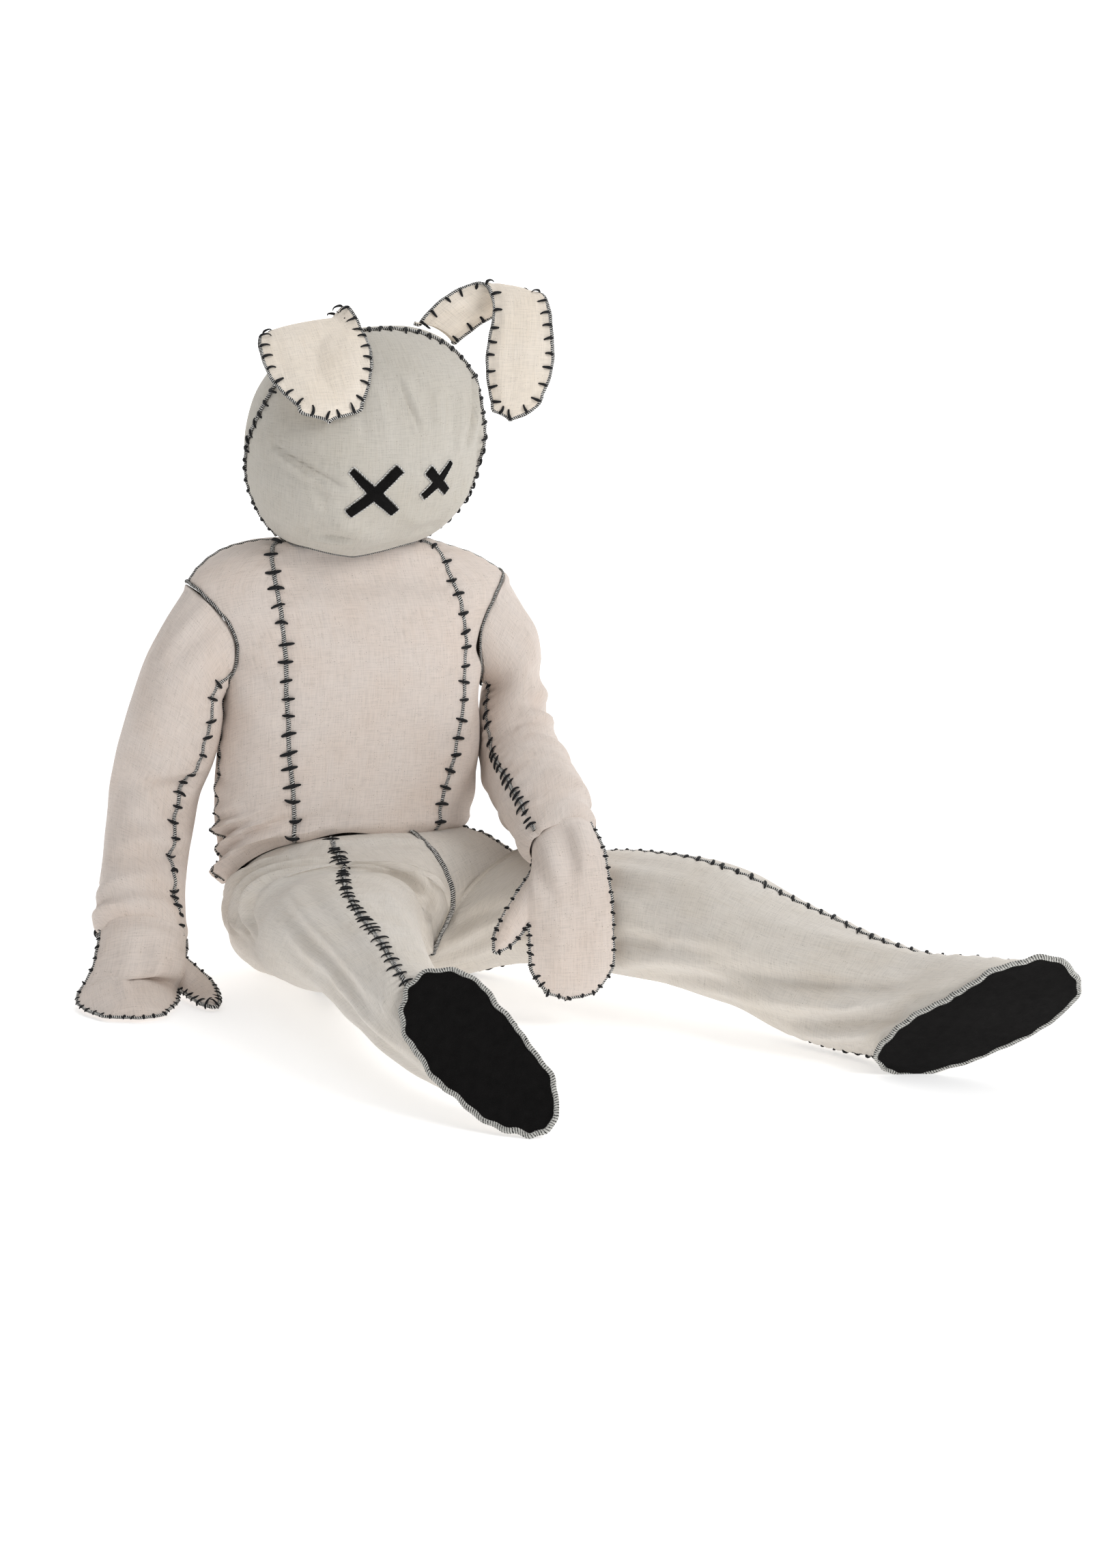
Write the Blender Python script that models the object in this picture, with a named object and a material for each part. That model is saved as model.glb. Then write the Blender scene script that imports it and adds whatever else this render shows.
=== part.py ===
# Sewn rag-bunny costume: a round cloth head mask with two long ears, and a one-piece suit with mitts and soles,
# kept in a seated pose. Metres, +Z up, front towards -Y. Every panel is a thin wall worked out from rings of sections.
# Heights in the tables are measured from the floor that the seat rests on; the origin is the neck, NECK_Z above it.
# "near" is the side at -X, "far" the side at +X.
import math

import bpy
import numpy as np

# ---------------------------------------------------------------- driving dimensions
WALL = 0.0016            # cloth thickness
FELT = 0.0024            # thickness of the soles and the eye pieces
GAP = 0.0003             # distance between pieces at a seam
LEG_GAP = 0.0010         # the same for the legs' long seams, which twist
ARMHOLE_EASE = 0.0018    # the sleeve cap is this much smaller than the armhole, so that its facets clear it
NECK_Z = 0.640           # neck above the floor
HEAD_CENTRE = (0.016, -0.036, 0.778)
HEAD_HALF = (0.170, 0.163, 0.168)   # half width, half depth, half height
HEAD_YAW = 4.0           # degrees towards +X
HEAD_NOD = 11.0          # degrees down
# face panel: degrees from the face's axis to its rim, by degrees round it from the mask's left side over its top
RIM = [(0, 64), (20, 63), (35, 69), (50, 75), (70, 81), (92, 89), (120, 87), (146, 85), (165, 91), (183, 103),
       (205, 99), (225, 92), (270, 90), (320, 78), (345, 68), (360, 64)]
# the mask slumps to one side: its half axes grow or shrink with the angle round an axis, most where it is widest
SLUMP_AXES = ((-.3036, -.9342, .1874), (.9511, -.3090, 0), (.0579, .1782, .9823))
SLUMP = [(0, .985), (20, 1.07), (45, 1.14), (65, 1.11), (90, 1.055), (120, 1.025), (150, .985), (180, 1.005), (210, 1.015),
         (235, 1.0), (260, .965), (285, .89), (300, .875), (320, .89), (345, .935), (360, .985)]
MASK_RIM_Z = 0.654       # height of the mask's open neck at y = 0
MASK_RIM_SLOPE = 0.16    # the open neck hangs lower in front
ARMHOLE = dict(y=0.006, z=0.508, half_depth=0.068, half_height=0.082)
EYE_NEAR = dict(side=-.035, up=-.023, stroke=0.094, wide=0.016)   # the crosses: place on the face, stroke length, width
EYE_FAR = dict(side=.063, up=-.012, stroke=0.062, wide=0.014)
TAPE_WIDTH = 0.010

# Sections: centre c, half axis t (front or top), half axis s, squareness n, dip = how far the sides hang lower.
# Torso: s points to +X; near_x and far_x are the two princess seams.
TORSO_COLUMNS = ("cx", "cy", "cz", "tx", "ty", "tz", "sx", "sy", "sz", "n", "dip", "near_x", "far_x")
TORSO = {
    "waist":    (-.015, .000, .188, 0, -.128, .050, .184, 0, 0, 2.3, .035, -.115, .098),
    "belly":    (-.012, .000, .258, 0, -.132, .028, .192, 0, 0, 2.4, .012, -.116, .114),
    "ribs":     (-.003, .000, .340, 0, -.125, .006, .195, 0, 0, 2.4, .000, -.119, .134),
    "chest":    (.000, .000, .430, 0, -.118, .000, .194, 0, 0, 2.4, .000, -.120, .152),
    "armpit":   (.000, .000, .500, 0, -.110, .000, .208, 0, 0, 2.3, .000, -.120, .157),
    "shoulder": (.000, .002, .555, 0, -.097, .000, .236, 0, -.002, 2.2, .000, -.123, .150),
    "tip":      (.000, .004, .589, 0, -.081, .000, .238, 0, -.005, 2.1, .000, -.125, .140),
    "slope":    (.000, .006, .622, 0, -.075, .000, .196, 0, -.009, 2.0, .000, -.127, .130),
    "collar":   (.000, .007, .640, 0, -.075, .000, .144, 0, -.007, 2.0, .000, -.117, .118),
    "neck":     (.006, .007, .647, 0, -.075, .000, .100, 0, 0, 2.0, .000, -.080, .090),
}
# Sleeves: s points to the front, t to the outside; in_a and out_a are the angles of the two seams.
SLEEVE_COLUMNS = ("cx", "cy", "cz", "tx", "ty", "tz", "sx", "sy", "sz", "n", "in_a", "out_a")
SLEEVE_NEAR = {
    "armhole": (-.195, .006, .508, -.030, 0, .082, 0, -.068, 0, 2.0, -34, 135),
    "cap":     (-.243, -.002, .464, -.049, 0, .044, 0, -.073, 0, 2.0, -34, 138),
    "upper":   (-.263, -.003, .400, -.067, 0, .012, 0, -.072, 0, 2.0, -36, 138),
    "bend":    (-.276, .020, .335, -.069, 0, .008, 0, -.071, -.006, 2.0, -30, 136),
    "elbow":   (-.289, .044, .275, -.065, 0, .008, 0, -.068, .012, 2.1, -22, 132),
    "forearm": (-.304, .030, .205, -.063, 0, .012, 0, -.060, .026, 2.1, -28, 126),
    "low":     (-.319, -.006, .138, -.063, 0, .014, 0, -.048, .036, 2.1, -38, 114),
    "wrist":   (-.328, -.043, .088, -.060, .006, .014, 0, -.028, .034, 2.1, -68, 106),
}
SLEEVE_FAR = {
    "armhole": (.195, .006, .508, .030, 0, .082, 0, -.068, 0, 2.0, -70, 118),
    "cap":     (.244, .002, .464, .038, 0, .044, 0, -.072, 0, 2.0, -84, 118),
    "upper":   (.247, -.004, .410, .045, 0, .012, 0, -.068, .000, 2.0, -80, 116),
    "bend":    (.246, -.024, .355, .055, 0, .006, 0, -.062, .026, 2.0, -66, 114),
    "elbow":   (.245, -.064, .306, .057, 0, .003, 0, -.040, .062, 2.1, -64, 112),
    "forearm": (.234, -.160, .290, .063, 0, .003, 0, -.010, .064, 2.1, -58, 110),
    "low":     (.218, -.265, .278, .063, -.004, .010, -.008, -.008, .053, 2.1, -45, 108),
    "wrist":   (.205, -.362, .254, .043, -.012, .024, -.022, -.010, .032, 2.1, -24, 108),
}
# Legs: s points to the crotch, t to the front or top. Down to the crotch row the ring is open along the crotch seam,
# which runs through the points of SEAT_SEAM; front_a and under_a are the angles of the leg's two long seams.
LEG_COLUMNS = ("cx", "cy", "cz", "tx", "ty", "tz", "sx", "sy", "sz", "n", "dip", "front_a", "under_a")
LEG_NEAR = {
    "waist":  (-.015, .000, .182, 0, -.122, .047, .176, 0, 0, 2.3, .035, 106, 246),
    "hip":    (-.020, -.020, .140, 0, -.185, .075, .172, 0, 0, 2.4, .000, 107, 250),
    "seat":   (-.050, -.085, .112, 0, -.155, .108, .152, 0, 0, 2.5, .000, 101, 256),
    "crotch": (-.070, -.165, .114, 0, -.100, .107, .121, 0, 0, 2.4, .000, 97, 262),
    "thigh":  (-.082, -.270, .121, 0, -.038, .091, .112, 0, 0, 2.2, .000, 95, 266),
    "knee":   (-.089, -.410, .127, 0, -.010, .073, .083, 0, 0, 2.1, .000, 102, 268),
    "shin":   (-.091, -.560, .115, 0, .000, .066, .061, 0, 0, 2.1, .000, 104, 270),
    "ankle":  (-.080, -.685, .099, -.019, .028, .065, .053, -.003, .012, 2.1, .000, 98, 270),
    "sole":   (-.036, -.790, .084, -.0517, .0923, .0694, .048, .0008, .0347, 2.2, .000, 104, 270),
}
LEG_FAR = {
    "waist":  (-.015, .000, .182, 0, -.122, .047, -.176, 0, 0, 2.3, -.024, 160, 246),
    "hip":    (.030, -.020, .140, 0, -.185, .075, -.165, 0, -.042, 2.4, .000, 150, 250),
    "seat":   (.085, -.080, .112, .030, -.145, .108, -.140, 0, -.036, 2.4, .000, 138, 256),
    "crotch": (.155, -.150, .112, .030, -.085, .109, -.082, -.038, -.010, 2.3, .000, 116, 262),
    "thigh":  (.225, -.240, .130, .010, -.030, .087, -.088, -.052, 0, 2.2, .000, 102, 266),
    "above":  (.305, -.350, .140, 0, 0, .088, -.077, -.048, 0, 2.1, .000, 100, 268),
    "knee":   (.400, -.480, .137, 0, -.010, .094, -.071, -.047, 0, 2.1, .000, 89, 270),
    "shin":   (.488, -.616, .097, .010, 0, .086, -.060, -.036, .008, 2.1, .000, 93, 270),
    "ankle":  (.556, -.730, .084, .032, -.020, .074, -.046, -.022, .016, 2.1, .000, 82, 270),
    "sole":   (.618, -.838, .087, .0935, -.0655, .0700, -.0440, -.0120, .0430, 2.3, .000, 86, 270),
}
SEAT_COLUMNS = ("front_y", "front_z", "back_y", "back_z")
SEAT_SEAM = {
    "waist":  (-.118, .227, .122, .135),
    "hip":    (-.200, .207, .155, .078),
    "seat":   (-.244, .150, .050, .003),
    "crotch": (-.190, .060, -.190, .060),
}
# the crotch seam stands on this line over the floor, and each half of the trousers stays on its own side of it
SEAT_LINE_COLUMNS = ("y", "x")
SEAT_LINE = {
    "knees": (-.300, .090),
    "lap":   (-.244, .085),
    "fork":  (-.200, .072),
    "under": (-.118, .057),
    "seat":  (.050, .043),
    "low":   (.122, .020),
    "back":  (.155, .014),
}
# Mitts: rows from wrist to finger tips: edge a, edge b, rise of the back, rise of the palm. The thumb grows out of one
# edge between two rows, with rows of its own: the edge towards the fingers, the edge towards the wrist.
MITT_COLUMNS = ("ax", "ay", "az", "bx", "by", "bz", "back", "palm")
MITT_NEAR = dict(
    hand={
        "wrist":    (-.385, -.038, .102, -.265, -.050, .074, .044, .036),
        "heel":     (-.404, -.080, .054, -.274, -.084, .042, .044, .026),
        "knuckles": (-.430, -.096, .014, -.288, -.104, .012, .040, .006),
        "mid":      (-.433, -.142, .008, -.300, -.152, .008, .029, .003),
        "tips":     (-.412, -.184, .006, -.322, -.192, .006, .017, .002),
        "end":      (-.386, -.206, .006, -.350, -.214, .006, .006, .001),
    },
    thumb_side=1, thumb_from=0.7, thumb_to=2.0,
    thumb={
        "mid": (-.278, -.138, .010, -.238, -.100, .018),
        "end": (-.270, -.184, .007, -.240, -.184, .007),
    },
    thumb_rise=.014,
)
MITT_FAR = dict(
    hand={
        "wrist":    (.174, -.350, .230, .248, -.374, .278, .034, .034),
        "heel":     (.152, -.400, .208, .252, -.424, .240, .022, .014),
        "knuckles": (.144, -.420, .165, .252, -.450, .185, .015, .006),
        "mid":      (.143, -.424, .125, .254, -.454, .128, .012, .004),
        "tips":     (.147, -.424, .085, .252, -.453, .088, .009, .003),
        "end":      (.164, -.428, .058, .234, -.448, .059, .005, .002),
        "edge":     (.184, -.434, .048, .206, -.440, .048, .003, .001),
    },
    thumb_side=0, thumb_from=0.7, thumb_to=2.3,
    thumb={
        "mid": (.131, -.416, .134, .113, -.408, .166),
        "end": (.112, -.408, .110, .094, -.402, .122),
    },
    thumb_rise=.010,
)
# Ears: rows from root to tip: edge a, edge b, rise of each side.
EAR_COLUMNS = ("ax", "ay", "az", "bx", "by", "bz", "rise")
EAR_NEAR = {
    "root": (-.096, -.010, .913, -.030, -.020, .945, .005),
    "rise": (-.124, -.050, .940, -.022, -.040, .972, .005),
    "fold": (-.146, -.092, .942, -.014, -.074, .980, .006),
    "fall": (-.152, -.128, .916, -.002, -.112, .938, .006),
    "wide": (-.142, -.160, .882, -.006, -.160, .892, .006),
    "tip":  (-.114, -.186, .850, -.028, -.190, .852, .004),
    "end":  (-.088, -.192, .836, -.058, -.194, .836, .002),
}
EAR_FAR = {
    "root": (.082, -.044, .948, .134, -.036, .922, .004),
    "rise": (.116, -.044, .976, .166, -.040, .940, .005),
    "hill": (.160, -.046, 1.006, .205, -.050, .966, .006),
    "fold": (.192, -.066, 1.012, .262, -.084, 1.000, .006),
    "fall": (.196, -.094, .975, .270, -.120, .972, .006),
    "hang": (.179, -.114, .905, .267, -.142, .905, .006),
    "tip":  (.184, -.126, .848, .250, -.148, .858, .004),
    "end":  (.198, -.132, .830, .222, -.140, .830, .002),
}


# ---------------------------------------------------------------- shapes
def table(rows):
    return np.array([list(r) for r in rows.values()], float)


def along(a, v):
    """Smooth values of the rows of a at v, where row 0 is v = 0."""
    a = np.asarray(a, float)
    v = np.asarray(v, float)
    last = len(a) - 1
    i = np.clip(np.floor(v).astype(int), 0, last - 1)
    f = (v - i)[..., None]
    p1, p2 = a[i], a[i + 1]
    p0 = np.where((i > 0)[..., None], a[np.maximum(i - 1, 0)], 2 * a[0] - a[1])
    p3 = np.where((i < last - 1)[..., None], a[np.minimum(i + 2, last)], 2 * a[last] - a[last - 1])
    return 0.5 * (2 * p1 + (p2 - p0) * f + (2 * p0 - 5 * p1 + 4 * p2 - p3) * f**2 + (3 * p1 - p0 - 3 * p2 + p3) * f**3)


def ring(row, angle):
    """Point at an angle (radians) of a squarish ellipse; row holds centre, t, s and n."""
    c, t, s, n = row[..., 0:3], row[..., 3:6], row[..., 6:9], row[..., 9]
    cos, sin = np.cos(angle), np.sin(angle)
    r = (np.abs(cos) ** n + np.abs(sin) ** n) ** (-1 / n)
    return c + (r * cos)[..., None] * s + (r * sin)[..., None] * t


def angle_at(u, n):
    """Angle at which the ring is at u half widths along s, on its front."""
    u = np.clip(u, -1, 1)
    return np.arctan2((1 - np.abs(u) ** n) ** (1 / n), u)


def torso_point(angle, v):
    row = along(table(TORSO), v)
    p = ring(row, angle)
    p[..., 2] -= row[..., 10] * sag(angle)
    return p


def sag(angle):
    """How the waist drops round its ring: low at the near side, over the bent hip, and a little up at the far side."""
    cos = np.cos(angle)
    return cos**4 * np.where(cos < 0, 1.0, -0.66)


def torso_half_width(y, z, side):
    """Distance from x = 0 to the torso's side at depth y and height z, above the belly."""
    a = table(TORSO)
    z = z - side * np.interp(z, a[:, 2], a[:, 8])
    v = np.interp(z, a[:, 2], np.arange(len(a)))
    for _ in range(3):
        slope = np.maximum(along(a, np.minimum(v + .01, len(a) - 1))[..., 2] - along(a, v)[..., 2], 1e-5) / .01
        v = np.clip(v - (along(a, v)[..., 2] - z) / slope, 0, len(a) - 1)
    row = along(a, v)
    u = np.clip(np.abs(y - row[..., 1]) / -row[..., 4], 0, 1)
    return side * row[..., 0] + row[..., 6] * (1 - u ** row[..., 9]) ** (1 / row[..., 9])


def armhole_value(p, grow=0.0):
    """Above zero outside the armhole's oval, in metres near its edge."""
    y = (p[..., 1] - ARMHOLE["y"]) / (ARMHOLE["half_depth"] + grow)
    z = (p[..., 2] - ARMHOLE["z"]) / (ARMHOLE["half_height"] + grow)
    d = (np.sqrt(y * y + z * z) - 1) * ARMHOLE["half_depth"]
    return np.where(np.abs(p[..., 0]) < 0.13, 1.0, d)


def sleeve_point(rows, side, angle, v):
    a = table(rows)
    p = ring(along(a, v), angle)
    y = ARMHOLE["y"] - (ARMHOLE["half_depth"] - ARMHOLE_EASE) * np.cos(angle)
    z = ARMHOLE["z"] + (ARMHOLE["half_height"] - ARMHOLE_EASE) * np.sin(angle)
    hole = np.stack([side * torso_half_width(y, z, side), y, z], -1)
    b = np.clip(np.asarray(v, float) / 1.0, 0, 1)[..., None]
    b = b * b * (3 - 2 * b)
    p = hole * (1 - b) + p * b
    # the sleeve lies against the torso's side, never in it
    clear = 0.004 * np.clip(np.asarray(v, float) / 0.5, 0, 1)
    out = torso_half_width(p[..., 1], p[..., 2], side) + clear
    p[..., 0] = side * np.maximum(side * p[..., 0], out)
    return p


CROTCH = list(LEG_NEAR).index("crotch")
SEAT_GAP = 0.0008        # each half of the trousers stays this far from the crotch seam


def seat_line(y):
    a = table(SEAT_LINE)
    return np.interp(y, a[:, 0], a[:, 1])


def leg_span(rows, v):
    """Angles of the front and back ends of the open ring, and how far each end is from the crotch seam."""
    a = table(rows)
    y, z = table(SEAT_SEAM)[:, [0, 2]], table(SEAT_SEAM)[:, [1, 3]]
    x = seat_line(y) - math.copysign(SEAT_GAP, a[0, 6])
    seam = np.stack([x, y, z], -1).reshape(len(x), 6)
    row = along(a, v)
    ends = np.concatenate([seam, np.tile(ring(a[CROTCH + 1], np.float64(0.0)), 2)[None]])
    at = along(ends, np.minimum(v, CROTCH + 1))
    both = 0.5 * (at[..., :3] + at[..., 3:])
    closed = (np.asarray(v) >= CROTCH)[..., None]
    front = np.where(closed, both, at[..., :3])
    back = np.where(closed, both, at[..., 3:])
    size = np.linalg.norm(row[..., 6:9], axis=-1)
    unit = row[..., 6:9] / size[..., None]
    open_ = (np.asarray(v) < CROTCH)
    fa = np.where(open_, angle_at(np.sum((front - row[..., :3]) * unit, -1) / size, row[..., 9]), 0.0)
    ba = np.where(open_, 2 * math.pi - angle_at(np.sum((back - row[..., :3]) * unit, -1) / size, row[..., 9]), 2 * math.pi)
    # the angles close smoothly before the crotch row
    shut = np.clip(CROTCH - np.asarray(v, float), 0, 1) ** 0.5
    fa, ba = fa * shut, 2 * math.pi - (2 * math.pi - ba) * shut
    past = (np.asarray(v) > CROTCH + 1)[..., None]
    return fa, ba, np.where(past, np.nan, front), np.where(past, np.nan, back)


def foot_shape(row, angle, amount):
    """Wider at the toes than at the heel, and drawn in at the instep."""
    cos, sin = np.cos(angle), np.sin(angle)
    k = 0.14 * sin * cos - 0.16 * np.maximum(cos, 0) * (1 - sin * sin) ** 2
    return row[..., 6:9] * (k * amount)[..., None]


def leg_point(rows, angle, v):
    angle, v = np.broadcast_arrays(np.asarray(angle, float), np.asarray(v, float))
    row = along(table(rows), v)
    p = ring(row, angle)
    p[..., 2] -= row[..., 10] * np.cos(angle) ** 4
    fa, ba, front, back = leg_span(rows, v)
    u = np.clip((angle - fa) / (ba - fa), 0, 1)
    start, end = ring(row, fa), ring(row, ba)
    start[..., 2] -= row[..., 10] * np.cos(fa) ** 4
    end[..., 2] -= row[..., 10] * np.cos(ba) ** 4
    p = p + foot_shape(row, angle, np.clip(v - (len(rows) - 2), 0, 1))
    pull = np.where(np.isnan(front), 0, (front - start)) * ((1 - u) ** 5)[..., None]
    pull = pull + np.where(np.isnan(back), 0, (back - end)) * (u ** 5)[..., None]
    p = p + pull
    # nothing of the leg reaches past the plane of its sole
    last = table(rows)[-1]
    n = np.cross(last[3:6], last[6:9])
    n *= np.sign(np.dot(n, last[:3] - table(rows)[-2][:3])) / np.linalg.norm(n)
    left = len(rows) - 1 - v
    past = np.maximum(np.sum((p - last[:3]) * n, -1) + 0.012 * left, 0) * (left < 1.5)
    p = p - past[..., None] * n
    # each leg keeps to its side of the crotch seam and on the floor
    side = math.copysign(1, table(rows)[0, 6])
    p[..., 0] = side * np.minimum(side * p[..., 0], side * seat_line(p[..., 1]) - SEAT_GAP)
    p[..., 2] = np.maximum(p[..., 2], 0)
    return p


def normals(point, angle, v, top, step=1e-3):
    """Unit normals of the surface point(angle, v)."""
    lo, hi = np.maximum(v - step, 0), np.minimum(v + step, top)
    a = point(angle + step, v) - point(angle - step, v)
    b = point(angle, hi) - point(angle, lo)
    n = np.cross(a, b)
    return n / np.maximum(np.linalg.norm(n, axis=-1, keepdims=True), 1e-12)


def inset(p, edges, by):
    """Moves the named edges of a grid of points into the grid by a distance."""
    p = p.copy()
    pairs = {"left": ((slice(None), 0), (slice(None), 1)), "right": ((slice(None), -1), (slice(None), -2)),
             "start": ((0,), (1,)), "end": ((-1,), (-2,))}
    for e in edges:
        edge, inner = pairs[e]
        run = np.gradient(p[edge], axis=0)
        run /= np.maximum(np.linalg.norm(run, axis=-1, keepdims=True), 1e-12)
        d = p[inner] - p[edge]
        d = d - np.sum(d * run, -1, keepdims=True) * run
        d /= np.maximum(np.linalg.norm(d, axis=-1, keepdims=True), 1e-12)
        p[edge] = p[edge] + d * by
    return p


def grid_faces(rows, cols, first=0):
    return [(first + i * cols + j, first + i * cols + j + 1, first + (i + 1) * cols + j + 1, first + (i + 1) * cols + j)
            for i in range(rows - 1) for j in range(cols - 1)]


def clip(points, faces, value):
    """Keeps the part of a sheet where value(points) is not below zero; points near the line move onto it."""
    pts = [np.array(p) for p in points]
    val = list(value(np.array(pts)))
    edges = {tuple(sorted(e)) for f in faces for e in zip(f, f[1:] + f[:1])}

    def zero(i, j):
        lo, hi = 0.0, 1.0
        for _ in range(24):
            mid = 0.5 * (lo + hi)
            if (value((pts[i] + (pts[j] - pts[i]) * mid)[None])[0] > 0) == (val[i] > 0):
                lo = mid
            else:
                hi = mid
        return 0.5 * (lo + hi)

    near = {}
    for i, j in sorted(edges):
        if val[i] * val[j] < 0:
            t = zero(i, j)
            for k, m, d in ((i, j, t), (j, i, 1 - t)):
                if d < 0.3 and d < near.get(k, (1.0,))[0]:
                    near[k] = (d, pts[k] + (pts[m] - pts[k]) * d)
    for k, (_, p) in near.items():
        pts[k] = p
        val[k] = 0.0
    made = {}

    def cross(i, j):
        key = (min(i, j), max(i, j))
        if key not in made:
            t = zero(*key)
            made[key] = len(pts)
            pts.append(pts[key[0]] + (pts[key[1]] - pts[key[0]]) * t)
            val.append(0.0)
        return made[key]

    out = []
    for f in faces:
        if all(val[i] <= 0 for i in f):
            continue
        if all(val[i] >= 0 for i in f):
            out.append(tuple(f))
            continue
        g = []
        for i, j in zip(f, f[1:] + f[:1]):
            if val[i] >= 0:
                g.append(i)
            if val[i] * val[j] < 0:
                g.append(cross(i, j))
        if len(g) > 2:
            out.append(tuple(g))
    used = sorted({i for f in out for i in f})
    new = {k: n for n, k in enumerate(used)}
    return np.array([pts[k] for k in used]), [tuple(new[i] for i in f) for f in out]


def triangles(f, points, offset):
    """Splits a face along the diagonal that stands further out, so that both sides of a wall fold alike."""
    if len(f) != 4:
        return [(f[0], f[k], f[k + 1]) for k in range(1, len(f) - 1)]
    a, b, c, d = f
    out = -offset[list(f)].mean(0)
    if np.dot(points[a] + points[c] - points[b] - points[d], out) >= 0:
        return [(a, b, c), (a, c, d)]
    return [(b, c, d), (b, d, a)]


def wall(name, points, faces, offset, material, flip=False):
    """A closed wall between a sheet and the same sheet moved by offset."""
    points, offset = np.asarray(points), np.asarray(offset)
    faces = [t for f in faces for t in triangles(f, points, offset)]
    count = len(points)
    floor = np.array([0, 0, NECK_Z])
    verts = np.concatenate([points, points + offset]) - floor
    sides = {}
    for f in faces:
        for e in zip(f, f[1:] + f[:1]):
            sides[e] = f
    both = [tuple(f) for f in faces] + [tuple(i + count for i in reversed(f)) for f in faces]
    for i, j in sides:
        if (j, i) not in sides:
            both.append((j, i, i + count, j + count))
    if flip:
        both = [tuple(reversed(f)) for f in both]
    mesh = bpy.data.meshes.new(name)
    mesh.from_pydata([tuple(v) for v in verts], [], both)
    mesh.validate()
    obj = bpy.data.objects.new(name, mesh)
    bpy.context.scene.collection.objects.link(obj)
    mesh.materials.append(material)
    volume = sum(np.dot(verts[f[0]], np.cross(verts[f[k]], verts[f[k + 1]])) for f in both for k in range(1, len(f) - 1))
    if volume < 0:
        mesh.flip_normals()
    mesh.shade_smooth()
    mesh.set_sharp_from_angle(angle=math.radians(40))
    return obj


def material(name, colour, rough):
    m = bpy.data.materials.new(name)
    m.use_nodes = True
    b = m.node_tree.nodes["Principled BSDF"]
    b.inputs["Base Color"].default_value = (*colour, 1)
    b.inputs["Roughness"].default_value = rough
    b.inputs["Metallic"].default_value = 0
    return m


def panel(name, point, left, right, v, cols, top, seams, mat, cut=None, sole=None, gap=GAP):
    """A panel between two seam curves left(v) and right(v), as a wall inside the surface."""
    v = np.asarray(v, float)
    a = left(v)[:, None] + (right(v) - left(v))[:, None] * np.linspace(0, 1, cols)[None]
    vv = np.broadcast_to(v[:, None], a.shape)
    n = normals(point, a, vv, top)
    outward = orient(point, a, vv)
    n = n * outward
    p = point(a, vv)
    inner = inset(p - n * WALL, seams, gap / 2)
    p = inset(p, seams, gap / 2)
    faces = grid_faces(len(v), cols)
    if sole:
        inner[-1] = in_sole_plane(sole, p[-1], inner[-1])
    pts, off = p.reshape(-1, 3), (inner - p).reshape(-1, 3)
    if cut:
        known = pts
        joined, faces = clip(pts, faces, cut)
        off = np.array([nearest_offset(q, known, off) for q in joined])
        pts = joined
    return wall(name, pts, faces, off, mat)


def orient(point, a, v):
    """+1 where the surface's own normal points away from the ring's middle, else -1."""
    i = (a.shape[0] // 2, a.shape[1] // 2)
    mid = v[i]
    around = point(np.linspace(0, 2 * math.pi, 16, endpoint=False), np.full(16, mid)).mean(0)
    n = normals(point, a[i][None], v[i][None], mid + 1)[0]
    return 1.0 if np.dot(point(a[i][None], v[i][None])[0] - around, n) > 0 else -1.0


def nearest_offset(q, pts, off):
    d = np.linalg.norm(pts - q, axis=1)
    k = np.argsort(d)[:3]
    w = 1 / (d[k] + 1e-6)
    o = (off[k] * w[:, None]).sum(0) / w.sum()
    return o * (WALL / np.linalg.norm(o))


# ---------------------------------------------------------------- pieces
def make_torso(mat):
    a = table(TORSO)
    top = len(a) - 1
    v = np.array([0, .5, 1, 2, 3, 3.5, 4, 4.5, 5, 5.5, 6, 6.5, 7, 8, 9])

    def seam(column):
        return lambda w: angle_at((along(a, w)[:, column] - along(a, w)[:, 0]) / along(a, w)[:, 6], along(a, w)[:, 9])

    near, far = seam(11), seam(12)
    side_near, side_far = (lambda w: np.full(len(w), math.pi)), (lambda w: np.zeros(len(w)))
    side_far_end = lambda w: np.full(len(w), 2 * math.pi)
    cut = lambda p: armhole_value(p, GAP / 2)
    both = ["left", "right"]
    panel("front_centre", torso_point, far, near, v, 6, top, both, mat)
    panel("front_side_near", torso_point, near, side_near, v, 7, top, both, mat, cut)
    panel("front_side_far", torso_point, side_far, far, v, 7, top, both, mat, cut)
    panel("back", torso_point, side_near, side_far_end, v, 13, top, both, mat, cut)


def make_sleeve(side, rows, label, mat):
    a = table(rows)
    top = len(a) - 1
    point = lambda angle, v: sleeve_point(rows, side, angle, v)
    v = np.array([0, .35, .7, 1, 1.5, 2, 3, 4, 5, 6, 7])
    seam_in = lambda w: np.radians(along(a, w)[:, 10])
    seam_out = lambda w: np.radians(along(a, w)[:, 11])
    back_end = lambda w: np.radians(along(a, w)[:, 10]) + 2 * math.pi
    panel(f"sleeve_{label}_front", point, seam_in, seam_out, v, 6, top, ["left", "right"], mat)
    panel(f"sleeve_{label}_back", point, seam_out, back_end, v, 8, top, ["left", "right"], mat)


def in_sole_plane(rows, outer, inner):
    """Keeps the end of the leg's wall flat against the sole."""
    row = table(rows)[-1]
    n = np.cross(row[3:6], row[6:9])
    n /= np.linalg.norm(n)
    d = inner - outer
    d = d - np.sum(d * n, -1, keepdims=True) * n
    return outer + d * (WALL / np.linalg.norm(d, axis=-1, keepdims=True))


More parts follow.
